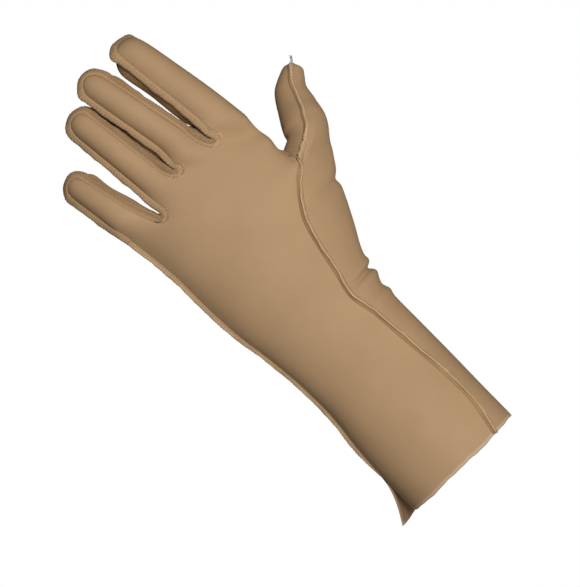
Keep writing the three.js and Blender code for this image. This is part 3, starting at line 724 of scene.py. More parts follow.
# The thumb's seam is bunched over this reach from its start, then stands lower, and runs out at its end
BUNCH_REACH = 15
BUNCH_WAVE = (1.1, 4.4, 0.6)
THUMB_SEAM_SHARE = 0.42
THUMB_END_SHARE = 0.35
THUMB_END_REACH = 5
# Lookup of the nearest seam: step between places, and where a seam's first half gives way to its second, as
# shares of its length
SEAM_STEP = 0.25
HALF_FROM = 0.46
HALF_EASE = 0.08

# Runs of stitches: how much of the seam's length is sewn, in millimetres from its start. Pitch, width and
# thickness are shares of those of a plain run, and the slant is a share of the pitch.
STITCH_RUNS = table(
    "name seam length pitch wide thick slant",
    *((seam, seam, math.inf, 1, 1, 1, 0.35) for seam in SEAM_ORDER),
    ("gather", "thumb", 13, 1.0, 1.3, 2.2, 0.9),
)
STITCH_INPUTS = (
    ("Geometry", "Geometry"),
    ("Pitch", "Float"),
    ("Thread radius", "Float"),
    ("Half width", "Float"),
    ("Slant", "Float"),
    ("Seed", "Int"),
)
# Form of a stitch: least and greatest height, bulge of its sides, heights of its bow and its feet, points
# along it and round it, and how far it leans and is lifted with the standing edge, all as shares
STITCH_UNEVEN = (0.93, 1.08)
STITCH_BULGE = 1.25
STITCH_TOP = 1.36
STITCH_FOOT = 0.12
STITCH_STEPS = 9
THREAD_SIDES = 5
STITCH_LEAN = 0.5
STITCH_LIFT = 0.5
# The loose thread: the point of the thumb's seam that it leaves and how high up there, the length of a twist,
# thickness, gap and fanning of its strands in thread radii, its bend, heading, rings and sides
TAIL_FROM = -5
TAIL_ROOT = 0.6
TAIL_TWIST = 2.4
TAIL_THICK = 3.0
TAIL_GAP = 0.9
TAIL_FAN = 0.4
TAIL_BEND = 0.5
TAIL_HEADING = (0.7, -0.1, 0.7)
TAIL_RINGS = 15
TAIL_SIDES = 6


def phased(waves, phase):
    return [(size, length, times * phase) for size, length, times in waves]


def seam_stand(name, settings):
    """Height and lean of a seam's standing edge at each place along it, in millimetres."""
    path = seam_path(name)
    along, total = path["along"], path["along"][-1]
    phase = SEAM_ORDER.index(name) * SEAM_PHASE
    height = settings.height / MM * (1 + wave(along, *phased(HEIGHT_WAVES, phase)))
    lean = SEAM_MARKS[name]["lean"] + wave(along, *phased(LEAN_WAVES, phase))
    for is_low, away in zip(CROTCH_ENDS.get(name, ()), (along, total - along)):
        if is_low:
            height = height * mix(settings.crotch_share, 1, np.clip(away / (settings.fade / MM), 0, 1))
    for corner, number in enumerate(glove_skin().corners.get(name, ())):
        place = along[glove_skin().seams[name].index(number)]
        height = height * (1 + CORNER_EARS[name][corner] * np.exp(-(((along - place) / EAR_REACH) ** 2)))
    if name in SEAM_RISES:
        low, high, reach = SEAM_RISES[name]
        height = height * mix(low, high, np.clip(along / reach, 0, 1))
    if name == "index":
        away = np.abs(path["points"][:, 2] - INDEX_FOLD_Z)
        base = along[np.argmin(np.where(along < total / 2, np.inf, away))]
        folded = np.exp(-(((along - base) / INDEX_FOLD_HALF) ** 2))
        height = height * (1 - INDEX_FOLD_DROP * folded)
        lean = lean - INDEX_FOLD_LEAN * folded
    if name == "thumb":
        bunch = np.clip(1 - along / BUNCH_REACH, 0, 1)
        end = np.clip((total - along) / THUMB_END_REACH, 0, 1)
        height = height * mix(THUMB_END_SHARE, 1, end) * mix(THUMB_SEAM_SHARE, 1, bunch)
        lean = lean + bunch * wave(along, BUNCH_WAVE)
    return height, lean


def new_object(name, mesh, material):
    mesh.materials.append(material)
    mesh.polygons.foreach_set("use_smooth", [True] * len(mesh.polygons))
    obj = bpy.data.objects.new(name, mesh)
    bpy.context.scene.collection.objects.link(obj)
    return obj


def float_attribute(mesh, name, values):
    attribute = mesh.attributes.new(name, "FLOAT", "POINT")
    attribute.data.foreach_set("value", np.asarray(values, np.float32))


@lru_cache(maxsize=1)
def seam_tree():
    """Nearest-seam lookup: a tree of places, and the values that each one has by name."""
    places, along, marked, threaded = [], [], [], []
    offset = 0.0
    for name in SEAM_ORDER:
        path = seam_path(name)
        total = path["along"][-1]
        fine = np.arange(0, total, SEAM_STEP)
        places.append(np.stack([np.interp(fine, path["along"], path["points"][:, n]) for n in range(3)], 1))
        along.append(fine + offset)
        row = SEAM_MARKS[name]
        half = np.clip((fine / total - HALF_FROM) / HALF_EASE, 0, 1)
        marked.append(mix(row["first_mark"], row["second_mark"], half))
        threaded.append(mix(row["first_thread"], row["second_thread"], half))
        offset += total
    places = np.vstack(places)
    tree = KDTree(len(places))
    for i, place in enumerate(places):
        tree.insert(place, i)
    tree.balance()
    values = {"seam_along": along, "seam_marked": marked, "seam_threaded": threaded}
    return tree, {name: np.concatenate(parts) for name, parts in values.items()}


def rim_of(cells):
    """Edges with a cell on one side only, in the order of that cell."""
    edges = set()
    for cell in cells.tolist():
        loop = [n for i, n in enumerate(cell) if n != cell[i - 1]]
        edges.update(zip(loop, loop[1:] + loop[:1]))
    return [(a, b) for a, b in edges if (b, a) not in edges]


def panel_mesh(panel, settings):
    """A closed wall of cloth from a panel's cells: outer face, rounded rim and inner face."""
    skin = glove_skin()
    cells = skin.cells[panel]
    rim = sorted(rim_of(cells))
    on_rim = {n for edge in rim for n in edge}
    used = np.unique(cells)
    place = {n: i for i, n in enumerate(used.tolist())}
    inside = {n: [] for n in on_rim}
    for cell in cells.tolist():
        loose = [n for n in cell if n not in on_rim]
        for n in on_rim.intersection(cell):
            inside[n].extend(loose)
    outer = skin.points[used].copy()
    inward = np.zeros_like(outer)
    for n, others in inside.items():
        if others:
            inward[place[n]] = unit(skin.points[others].mean(0) - skin.points[n])
    outer += inward * settings.seam_gap / MM / 2
    z = outer[:, 2]
    if panel == "palm":
        flare = np.array([skin.flare_weight.get(n, 0.0) for n in used.tolist()])
        flare *= np.clip(1 - z / FLARE_HEIGHT, 0, 1) ** FLARE_CURL
        outer -= flare[:, None] * np.array((FLARE_REACH, 0, FLARE_DROP))
    ring = np.arctan2(outer[:, 1], outer[:, 0]) * HEM_RADIUS
    ripple = wave(ring, *HEM_RIPPLES)
    outer[:, 2] -= (ripple + HEM_DROP) * np.clip(1 - z / HEM_REACH, 0, 1) ** 2
    facing = skin.facing[used]
    inner = outer - facing * settings.wall / MM
    middle = (outer + inner) / 2 - inward * settings.wall / MM * RIM_ROUND
    count = len(used)
    faces, places = [], []
    weave_at = {}
    for cell, weave in zip(cells.tolist(), skin.weave[panel]):
        weave_at.update(zip(cell, weave))
        kept = [i for i in range(4) if cell[i] != cell[i - 1]]
        corners = [place[cell[i]] for i in kept]
        faces.append(corners)
        places.append([weave[i] for i in kept])
        faces.append([count + n for n in reversed(corners)])
        places.append([weave[i] for i in reversed(kept)])
    for a, b in rim:
        pa, pb = place[a], place[b]
        at = [weave_at[b], weave_at[a], weave_at[a], weave_at[b]]
        faces.append([pb, pa, 2 * count + pa, 2 * count + pb])
        places.append(at)
        faces.append([2 * count + pb, 2 * count + pa, count + pa, count + pb])
        places.append(at)
    mesh = bpy.data.meshes.new(f"{panel}_cloth")
    on_mesh = sorted(place[n] for n in on_rim)
    renumber = {2 * count + n: 2 * count + i for i, n in enumerate(on_mesh)}
    points = np.vstack([outer, inner, middle[on_mesh]])
    faces = [[renumber.get(n, n) for n in face] for face in faces]
    mesh.from_pydata((points * MM).tolist(), [], faces)
    uv = mesh.uv_layers.new(name="weave")
    uv.data.foreach_set("uv", np.array([at for face in places for at in face], np.float32).ravel())
    tree, seam_values = seam_tree()
    found = [tree.find(point) for point in skin.points[used]]
    nearest = [f[1] for f in found]
    near_seam = {name: values[nearest] for name, values in seam_values.items()}
    near_seam["seam_distance"] = np.array([f[2] for f in found])
    for name, values in near_seam.items():
        float_attribute(mesh, name, np.concatenate([values, values, values[on_mesh]]))
    hem = np.clip(skin.points[used][:, 2], 0, HEM_FADE)
    float_attribute(mesh, "hem_distance", np.concatenate([hem, hem, hem[on_mesh]]))
    # Painted shade: the inner face, and part of the rim, are darkened for the shade inside the glove
    lining = np.concatenate([np.zeros(count), np.ones(count), np.full(len(on_mesh), RIM_INNER_SHADE)])
    float_attribute(mesh, "lining", lining)
    return mesh


def tube_faces(rings, around, first=0):
    """Faces of a tube of rings of points: quads between neighbouring rings, and a cap at each end."""
    faces = []
    for low in range(first, first + (rings - 1) * around, around):
        high = low + around
        for j in range(around):
            k = (j + 1) % around
            faces.append((low + j, high + j, high + k, low + k))
    last = first + (rings - 1) * around
    faces.append(tuple(range(first, first + around)))
    faces.append(tuple(reversed(range(last, last + around))))
    return faces


def flange_mesh(name, settings):
    """A seam's standing edge: two cloth edges side by side, with a foot that runs out on the panels."""
    path = seam_path(name)
    marks = SEAM_MARKS[name]
    height, lean = seam_stand(name, settings)
    width = settings.thickness / MM / FLANGE_WIDTH
    rings = []
    for across, share in FLANGE_PROFILE:
        if across > FLANGE_FOOT:
            across = FLANGE_FOOT + (across - FLANGE_FOOT) * marks["slope"]
        if abs(across) > FLANGE_FOOT:
            hand = int(math.copysign(1, across))
            shift = path["slopes"][hand] * abs(across)
        else:
            shift = path["side"] * (across * width + lean * share**LEAN_CURVE)[:, None]
        rings.append(path["points"] + shift + path["up"] * (share * height)[:, None])
    rings = np.stack(rings, 1)
    count, around = rings.shape[:2]
    mesh = bpy.data.meshes.new(f"seam_{name}_cloth")
    faces = [face[::-1] for face in tube_faces(count, around)]
    mesh.from_pydata((rings.reshape(-1, 3) * MM).tolist(), [], faces)
    offsets, shares = np.array(FLANGE_PROFILE).T
    uv = mesh.uv_layers.new(name="weave")
    for loop in mesh.loops:
        i, j = divmod(loop.vertex_index, around)
        uv.data[loop.index].uv = (2 * offsets[j], path["along"][i])
    # Share up the standing edge, times how much painted highlight (+) or painted shade (-) the seam's crest
    # gets
    float_attribute(mesh, "crest", np.tile(shares * marks["crest"], count))
    float_attribute(mesh, "seam_along", np.repeat(path["along"], around))
    float_attribute(mesh, "seam_distance", np.tile(offsets, count))
    first_half = np.repeat(path["along"] < path["along"][-1] / 2, around)
    for key, kind in (("seam_marked", "mark"), ("seam_threaded", "thread")):
        float_attribute(mesh, key, np.where(first_half, marks[f"first_{kind}"], marks[f"second_{kind}"]))
    return mesh


KNIT_TINT = (1, 0.94, 0.85)
NAP_TINT = (0.5, 0.42, 0.32)
SHEEN_TINT = (1.0, 0.85, 0.65, 1)
FUZZ_SCALE = 1900.0
FUZZ_ROUGH = 0.2
# How the cloth of the panels and of the seams takes the light
CLOTH_FINISH = {"rough": 0.62, "gloss": 0.3, "sheen": 0.02, "sheen_rough": 0.45, "depth": 0.00022}
SEAM_FINISH = {"rough": 0.75, "gloss": 0.08, "sheen": 0.03, "sheen_rough": 0.5, "depth": 0.00012}
# Distances from the line of a seam between which needle marks show on its own cloth
SEAM_TICKS = {"Near": 0.95, "Far": 1.8}


def node(tree, kind, inputs=None, **values):
    """A node with its properties and unlinked inputs set, each input by name or place."""
    made = tree.nodes.new(kind)
    for name, value in values.items():
        setattr(made, name, value)
    for name, value in (inputs or {}).items():
        if isinstance(value, bpy.types.NodeSocket):
            tree.links.new(value, made.inputs[name])
        else:
            made.inputs[name].default_value = value
    return made


def math_node(tree, operation, a, b=None):
    inputs = {0: a} if b is None else {0: a, 1: b}
    return node(tree, "ShaderNodeMath", inputs, operation=operation).outputs[0]


def blend(tree, factor, a, b, kind="MIX"):
    """Mix of two colours."""
    inputs = {0: factor, 6: a, 7: b}
    return node(tree, "ShaderNodeMix", inputs, data_type="RGBA", blend_type=kind).outputs[2]


def layer(tree, colour, cover, share, tone, kind="MIX"):
    """A tone laid over a colour, where cover says how much and share how much of that counts."""
    return blend(tree, math_node(tree, "MULTIPLY", cover, share), colour, (*tone, 1), kind)


def ramp(tree, value, low, high, to_low=0.0, to_high=1.0):
    """A value carried smoothly from one range to another."""
    inputs = {"Value": value, "From Min": low, "From Max": high, "To Min": to_low, "To Max": to_high}
    return node(tree, "ShaderNodeMapRange", inputs, interpolation_type="SMOOTHSTEP").outputs["Result"]


def shader_group(name, inputs, outputs):
    tree = bpy.data.node_groups.new(name, "ShaderNodeTree")
    for socket, kind, default in inputs:
        made = tree.interface.new_socket(socket, in_out="INPUT", socket_type=kind)
        if default is not None:
            made.default_value = default
    for socket, kind in outputs:
        tree.interface.new_socket(socket, in_out="OUTPUT", socket_type=kind)
    return tree, tree.nodes.new("NodeGroupInput").outputs, tree.nodes.new("NodeGroupOutput").inputs


@lru_cache(maxsize=1)
def knit_group():
    """Fine knit: ribs across the cloth and loops along it, as a height and a shade."""
    tree, given, made = shader_group(
        "Fine knit",
        [
            ("Weave", "NodeSocketVector", None),
            ("Wales", "NodeSocketFloat", 2.0),
            ("Course", "NodeSocketFloat", 0.5),
        ],
        [("Height", "NodeSocketFloat"), ("Shade", "NodeSocketFloat")],
    )
    split = node(tree, "ShaderNodeSeparateXYZ", {0: given["Weave"]}).outputs
    turns = math_node(tree, "MULTIPLY", split["X"], given["Wales"])
    rib = math_node(tree, "PINGPONG", turns, 0.5)
    loops = math_node(tree, "DIVIDE", split["Y"], given["Course"])
    shifted = math_node(tree, "ADD", loops, rib)
    loop = math_node(tree, "PINGPONG", shifted, 0.5)
    height = math_node(tree, "ADD", ramp(tree, rib, 0.0, 0.5), math_node(tree, "MULTIPLY", loop, 0.8))
    tree.links.new(height, made["Height"])
    tree.links.new(ramp(tree, height, 0.2, 1.1), made["Shade"])
    return tree


@lru_cache(maxsize=1)
def mottle_group():
    """Slow uneven tone of dyed elastic cloth, and its fine fuzz."""
    tree, given, made = shader_group(
        "Dyed tone",
        [("Place", "NodeSocketVector", None), ("Scale", "NodeSocketFloat", 60.0)],
        [("Tone", "NodeSocketFloat"), ("Fuzz", "NodeSocketFloat")],
    )
    place = given["Place"]
    slow = node(tree, "ShaderNodeTexNoise", {"Vector": place, "Scale": given["Scale"], "Detail": 3.0})
    fine = node(tree, "ShaderNodeTexNoise", {"Vector": place, "Scale": FUZZ_SCALE, "Detail": 2.0})
    tree.links.new(ramp(tree, slow.outputs["Fac"], 0.3, 0.7), made["Tone"])
    tree.links.new(fine.outputs["Fac"], made["Fuzz"])
    return tree


@lru_cache(maxsize=1)
def tick_group():
    """Slanting needle marks beside a seam, at an even pitch, between two distances from it."""
    tree, given, made = shader_group(
        "Needle marks",
        [
            ("Along", "NodeSocketFloat", 0.0),
            ("Distance", "NodeSocketFloat", 0.0),
            ("Pitch", "NodeSocketFloat", 1.3),
            ("Near", "NodeSocketFloat", 2.3),
            ("Far", "NodeSocketFloat", 3.4),
            ("Strength", "NodeSocketFloat", 1.0),
        ],
        [("Mark", "NodeSocketFloat"), ("Thread", "NodeSocketFloat")],
    )
    slanted = math_node(tree, "ADD", given["Along"], math_node(tree, "MULTIPLY", given["Distance"], 0.55))
    beat = math_node(tree, "PINGPONG", math_node(tree, "DIVIDE", slanted, given["Pitch"]), 0.5)
    inside = ramp(tree, given["Distance"], math_node(tree, "SUBTRACT", given["Near"], 0.3), given["Near"])
    outside = ramp(tree, given["Distance"], given["Far"], math_node(tree, "SUBTRACT", given["Far"], 0.7))
    band = math_node(tree, "MULTIPLY", inside, outside)
    mark = math_node(tree, "MULTIPLY", ramp(tree, beat, 0.14, 0.3), band)
    tree.links.new(math_node(tree, "MULTIPLY", mark, given["Strength"]), made["Mark"])
    beat = math_node(tree, "DIVIDE", given["Along"], given["Pitch"])
    rows = []
    jitter = node(tree, "ShaderNodeTexNoise", {"W": beat, "Scale": 1.3}, noise_dimensions="1D").outputs["Fac"]
    for start, place in ((0.0, given["Far"]), (0.5, given["Near"])):
        needle = math_node(tree, "PINGPONG", math_node(tree, "ADD", beat, start), 0.5)
        gap = math_node(tree, "ABSOLUTE", math_node(tree, "SUBTRACT", given["Distance"], place))
        rows.append(math_node(tree, "MULTIPLY", ramp(tree, needle, 0.2, 0.36), ramp(tree, gap, 0.45, 0.15)))
    uneven = ramp(tree, jitter, 0.3, 0.6, 0.3, 1.3)
    dots = math_node(tree, "MULTIPLY", math_node(tree, "MAXIMUM", *rows), uneven)
    tree.links.new(dots, made["Thread"])
    return tree


def group_node(tree, group, inputs):
    return node(tree, "ShaderNodeGroup", inputs, node_tree=group).outputs


def new_material(name):
    material = bpy.data.materials.new(name)
    material.use_nodes = True
    tree = material.node_tree
    return material, tree, tree.nodes["Principled BSDF"].inputs


def attribute(tree, name):
    return node(tree, "ShaderNodeAttribute", attribute_name=name).outputs["Fac"]


def cloth_texture(tree, wales, course, scale):
    """A cloth's knit and dyed tone, as the outputs of their groups."""
    place = node(tree, "ShaderNodeTexCoord").outputs["Object"]
    weave = node(tree, "ShaderNodeUVMap", uv_map="weave").outputs["UV"]
    knit = group_node(tree, knit_group(), {"Weave": weave, "Wales": wales, "Course": course})
    return knit, group_node(tree, mottle_group(), {"Place": place, "Scale": scale})


def seam_ticks(tree, limits):
    """Needle marks and needle thread beside a seam."""
    inputs = {
        "Along": attribute(tree, "seam_along"),
        "Distance": attribute(tree, "seam_distance"),
        "Strength": attribute(tree, "seam_marked"),
        **limits,
    }
    ticks = group_node(tree, tick_group(), inputs)
    thread = math_node(tree, "MULTIPLY", ticks["Thread"], attribute(tree, "seam_threaded"))
    return ticks["Mark"], thread


def finish_cloth(tree, shader, colour, fuzz, relief, finish):
    """Colour, roughness, nap and relief of a cloth."""
    tree.links.new(colour, shader["Base Color"])
    rough = math_node(tree, "ADD", finish["rough"], math_node(tree, "MULTIPLY", fuzz, FUZZ_ROUGH))
    tree.links.new(rough, shader["Roughness"])
    shader["Specular IOR Level"].default_value = finish["gloss"]
    shader["Sheen Weight"].default_value = finish["sheen"]
    shader["Sheen Roughness"].default_value = finish["sheen_rough"]
    shader["Sheen Tint"].default_value = SHEEN_TINT
    bump = node(tree, "ShaderNodeBump", {"Height": relief, "Strength": 0.5, "Distance": finish["depth"]})
    tree.links.new(bump.outputs["Normal"], shader["Normal"])


def cloth_material(name, light, dark, settings):
    """Matt elastic knit with a soft nap, needle marks beside its seams, a paler cut hem and painted shade on
    its inner face.
    """
    material, tree, shader = new_material(name)
    knit, tone = cloth_texture(tree, 2.0, 0.55, 38.0)
    mark, thread = seam_ticks(tree, {})
    hem = ramp(tree, attribute(tree, "hem_distance"), 1.9, 0.8)
    colour = blend(tree, tone["Tone"], (*dark, 1), (*light, 1))
    colour = layer(tree, colour, knit["Shade"], 0.06, KNIT_TINT, "SOFT_LIGHT")
    colour = layer(tree, colour, tone["Fuzz"], 0.12, NAP_TINT)
    colour = layer(tree, colour, hem, 0.7, settings.hem_colour)
    colour = layer(tree, colour, mark, 0.6, settings.mark_colour)
    colour = layer(tree, colour, thread, 1.0, settings.needle_colour)
    # Painted shade on the cloth's inner face
    colour = layer(tree, colour, attribute(tree, "lining"), 0.75, settings.inner_shade_colour)
    relief = math_node(tree, "SUBTRACT", math_node(tree, "MULTIPLY", knit["Height"], 0.09), mark)
    finish_cloth(tree, shader, colour, tone["Fuzz"], relief, CLOTH_FINISH)
    return material


def seam_material(settings, cloth):
    """Cloth of the seam's standing edge, with painted highlight and painted shade at its crest, and needle
    marks on its slope.
    """
    material, tree, shader = new_material("Seam cloth")
    knit, tone = cloth_texture(tree, 1.0, 0.5, 120.0)
    mark, thread = seam_ticks(tree, SEAM_TICKS)
    crest = attribute(tree, "crest")
    foot = (*settings.foot_colour, 1)
    # Painted highlight: a pale seam grows lighter from its foot up to its crest, as where light falls on its
    # ridge
    colour = blend(tree, ramp(tree, crest, 0.0, 0.95), foot, (*settings.crest_highlight_colour, 1))
    # Painted shade: the crest of a finger's seam is darkened for the shade along the fingers' edges
    colour = blend(tree, ramp(tree, crest, -0.3, -0.95), colour, (*settings.crest_shade_colour, 1))
    colour = layer(tree, colour, tone["Tone"], 0.2, settings.foot_colour)
    colour = layer(tree, colour, mark, 0.75, cloth.mark_colour)
    colour = layer(tree, colour, thread, 1.0, cloth.needle_colour)
    colour = layer(tree, colour, knit["Shade"], 0.12, KNIT_TINT, "SOFT_LIGHT")
    relief = math_node(tree, "ADD", knit["Height"], tone["Fuzz"])
    finish_cloth(tree, shader, colour, tone["Fuzz"], relief, SEAM_FINISH)
    return material


def thread_material(name, light, dark):
    """Textured nylon thread, slightly glossy."""
    material, tree, shader = new_material(name)
    place = node(tree, "ShaderNodeTexCoord").outputs["Object"]
    tone = group_node(tree, mottle_group(), {"Place": place, "Scale": 420.0})
    colour = blend(tree, tone["Tone"], (*dark, 1), (*light, 1))
    tree.links.new(colour, shader["Base Color"])
    rough = math_node(tree, "ADD", 0.45, math_node(tree, "MULTIPLY", tone["Fuzz"], 0.3))
    tree.links.new(rough, shader["Roughness"])
    shader["Sheen Weight"].default_value = 0.15
    bump = node(tree, "ShaderNodeBump", {"Height": tone["Fuzz"], "Strength": 0.4, "Distance": 0.00008})
    tree.links.new(bump.outputs["Normal"], shader["Normal"])
    return material


def stitch_nodes(material):
    """Geometry nodes that lay overlock stitches over a seam's standing edge, at an even pitch."""
    tree = bpy.data.node_groups.new("Overlock stitches", "GeometryNodeTree")
    sockets = {
        name: tree.interface.new_socket(name, in_out="INPUT", socket_type=f"NodeSocket{kind}")
        for name, kind in STITCH_INPUTS
    }
    tree.interface.new_socket("Geometry", in_out="OUTPUT", socket_type="NodeSocketGeometry")
    given = tree.nodes.new("NodeGroupInput").outputs
    out = tree.nodes.new("NodeGroupOutput")
    curve = node(tree, "GeometryNodeMeshToCurve", {"Mesh": given["Geometry"]}).outputs["Curve"]
    even = node(tree, "GeometryNodeResampleCurve", {"Curve": curve, "Length": given["Pitch"]}, mode="LENGTH")
    up = node(tree, "GeometryNodeInputNamedAttribute", {"Name": "up"}, data_type="FLOAT_VECTOR")
    height = node(tree, "GeometryNodeInputNamedAttribute", {"Name": "height"}, data_type="FLOAT")
    upright = node(
        tree, "FunctionNodeAlignRotationToVector", {"Vector": up.outputs["Attribute"]}, axis="Z"
    )
    tangent = node(tree, "GeometryNodeInputTangent").outputs["Tangent"]
    turned = node(
        tree,
        "FunctionNodeAlignRotationToVector",
        {"Rotation": upright.outputs["Rotation"], "Vector": tangent},
        axis="X",
        pivot_axis="Z",
    )
    limits = {2: STITCH_UNEVEN[0], 3: STITCH_UNEVEN[1], "Seed": given["Seed"]}
    unevenness = node(tree, "FunctionNodeRandomValue", limits, data_type="FLOAT")
    tall = math_node(tree, "MULTIPLY", height.outputs["Attribute"], unevenness.outputs[1])
    scale = node(tree, "ShaderNodeCombineXYZ", {"X": 1.0, "Y": 1.0, "Z": tall}).outputs["Vector"]
    back = math_node(tree, "MULTIPLY", given["Slant"], -1.0)
    left = math_node(tree, "MULTIPLY", given["Half width"], -1.0)
    wide = math_node(tree, "MULTIPLY", given["Half width"], STITCH_BULGE)
    wide_left = math_node(tree, "MULTIPLY", wide, -1.0)
    corners = {
        "Start": (back, left, STITCH_FOOT),
        "Start Handle": (back, wide_left, STITCH_TOP),
        "End Handle": (given["Slant"], wide, STITCH_TOP),
        "End": (given["Slant"], given["Half width"], STITCH_FOOT),
    }
    loop_inputs = {"Resolution": STITCH_STEPS}
    for name, (x, y, z) in corners.items():
        loop_inputs[name] = node(tree, "ShaderNodeCombineXYZ", {"X": x, "Y": y, "Z": z}).outputs["Vector"]
    loop = node(tree, "GeometryNodeCurvePrimitiveBezierSegment", loop_inputs, mode="POSITION")
    round_inputs = {"Resolution": THREAD_SIDES, "Radius": given["Thread radius"]}
    round_thread = node(tree, "GeometryNodeCurvePrimitiveCircle", round_inputs, mode="RADIUS")
    thread = node(
        tree,
        "GeometryNodeCurveToMesh",
        {
            "Curve": loop.outputs["Curve"],
            "Profile Curve": round_thread.outputs["Curve"],
            "Fill Caps": True,
        },
    )
    laid = node(
        tree,
        "GeometryNodeInstanceOnPoints",
        {
            "Points": even.outputs["Curve"],
            "Instance": thread.outputs["Mesh"],
            "Rotation": turned.outputs["Rotation"],
            "Scale": scale,
        },
    )
    real = node(tree, "GeometryNodeRealizeInstances", {"Geometry": laid.outputs["Instances"]})
    smooth = node(tree, "GeometryNodeSetShadeSmooth", {"Geometry": real.outputs["Geometry"]})
    dyed = {"Geometry": smooth.outputs["Geometry"], "Material": material}
    finished = node(tree, "GeometryNodeSetMaterial", dyed)
    tree.links.new(finished.outputs["Geometry"], out.inputs["Geometry"])
    return tree, {name: socket.identifier for name, socket in sockets.items()}


def stitched(name, run, tree, sockets, seams):
    """The stitches of one run as a plain mesh."""
    seam = run["seam"]
    path = seam_path(seam)
    height, lean = seam_stand(seam, seams)
    sewn = path["along"] <= run["length"]
    shift = path["side"] * (STITCH_LEAN * lean)[:, None]
    points = ((path["points"] + shift) * MM)[sewn]
    radius = seams.thread_radius * run["thick"]
    mesh = bpy.data.meshes.new(f"{name}_path")
    mesh.from_pydata(points.tolist(), [(i, i + 1) for i in range(len(points) - 1)], [])
    up = mesh.attributes.new("up", "FLOAT_VECTOR", "POINT")
    up.data.foreach_set("vector", path["up"][sewn].astype(np.float32).ravel())
    float_attribute(mesh, "height", height[sewn] * MM + radius * STITCH_LIFT)
    rail = bpy.data.objects.new(f"{name}_path", mesh)
    bpy.context.scene.collection.objects.link(rail)
    modifier = rail.modifiers.new("Overlock stitches", "NODES")
    modifier.node_group = tree
    values = {
        "Pitch": seams.pitch * run["pitch"],
        "Thread radius": radius,
        "Half width": seams.thickness / 2 * run["wide"] + radius,
        "Slant": seams.pitch * run["slant"],
        "Seed": SEAM_ORDER.index(seam) + 1,
    }
    for label, value in values.items():
        modifier[sockets[label]] = value
    graph = bpy.context.evaluated_depsgraph_get()
    made = bpy.data.meshes.new_from_object(rail.evaluated_get(graph))
    made.name = name
    bpy.data.objects.remove(rail)
    obj = bpy.data.objects.new(name, made)
    bpy.context.scene.collection.objects.link(obj)
    return obj


def tail_mesh(seams):
    """The loose end of the thumb seam's thread: two strands twisted together, fanning a little at the end."""
    path = seam_path("thumb")
    height = seam_stand("thumb", seams)[0]
    start = path["points"][TAIL_FROM] + path["up"][TAIL_FROM] * height[TAIL_FROM] * TAIL_ROOT
    heading = unit(np.array(TAIL_HEADING))
    side = unit(np.cross(heading, (0, 1, 0)))
    front = np.cross(side, heading)
    radius = seams.thread_radius / MM * TAIL_THICK
    share = np.linspace(0, 1, TAIL_RINGS)
    along = share * seams.tail / MM
    turn = np.linspace(0, 2 * math.pi, TAIL_SIDES, endpoint=False)
    ring = radius * (np.cos(turn)[:, None] * side + np.sin(turn)[:, None] * front)
    points, faces = [], []
    for strand in range(2):
        twist = 2 * math.pi * along / TAIL_TWIST + math.pi * strand
        offset = radius * (TAIL_GAP + TAIL_FAN * share**4)
        middle = start + np.outer(along, heading) + np.outer(TAIL_BEND * share**2, side)
        middle = middle + (offset * np.cos(twist))[:, None] * side + (offset * np.sin(twist))[:, None] * front
        faces.extend(tube_faces(TAIL_RINGS, TAIL_SIDES, len(points)))
        points.extend((middle[:, None] + ring).reshape(-1, 3))
    mesh = bpy.data.meshes.new("thread_tail")
    mesh.from_pydata((np.array(points) * MM).tolist(), [], faces)
    return mesh


def finish_piece(piece, slot, *nodes):
    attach(piece, "root")
    if nodes:
        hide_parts(*nodes)


def colour_property(name, description, default):
    return FloatVectorProperty(
        name=name, description=description, subtype="COLOR", size=3, min=0, max=1, default=default
    )


def length_property(name, description, default):
    return FloatProperty(name=name, description=description, unit="LENGTH", default=default, precision=5)


def power_property(name, description, default):
    return FloatProperty(name=name, description=description, unit="POWER", default=default)


def area_property(name, description, default):
    return FloatProperty(name=name, description=description, unit="AREA", default=default)


def flat_property(name, description, default):
    return FloatVectorProperty(name=name, description=description, size=2, unit="LENGTH", default=default)


class GLOVE_PG_cloth(bpy.types.PropertyGroup):
    wall: length_property("Wall", "Thickness of the cloth", 1.2 * MM)
    seam_gap: length_property("Seam gap", "Space between two panels under a seam", 0.6 * MM)
    back_light: colour_property("Back, light", "Lighter tone of the back", (0.500, 0.310, 0.158))
    back_dark: colour_property("Back, dark", "Darker tone of the back", (0.465, 0.285, 0.142))
    palm_light: colour_property("Palm, light", "Lighter tone of the palm and thumb", (0.485, 0.299, 0.152))
    palm_dark: colour_property("Palm, dark", "Darker tone of the palm and thumb", (0.450, 0.274, 0.136))
    hem_colour: colour_property("Hem", "Tone of the cut edge at the cuff", (0.70, 0.50, 0.33))
    mark_colour: colour_property("Needle marks", "Tone of the marks beside a seam", (0.20, 0.11, 0.05))
    needle_colour: colour_property("Needle thread", "Tone of the stitches beside a seam", (0.74, 0.54, 0.34))
    # Painted shade on the inner face
    inner_shade_colour: colour_property("Inner face", "Tone of the cloth's inner face", (0.22, 0.125, 0.06))
    back_flat: flat_property("Back, flat", "Width and length of the back as cut", (0.084, 0.240))
    back_area: area_property("Back, area", "Flat area of the back as cut", 0.0134)
    palm_flat: flat_property("Palm, flat", "Width and length of the palm and thumb as cut", (0.150, 0.242))
    palm_area: area_property("Palm, area", "Flat area of the palm and thumb as cut", 0.0250)


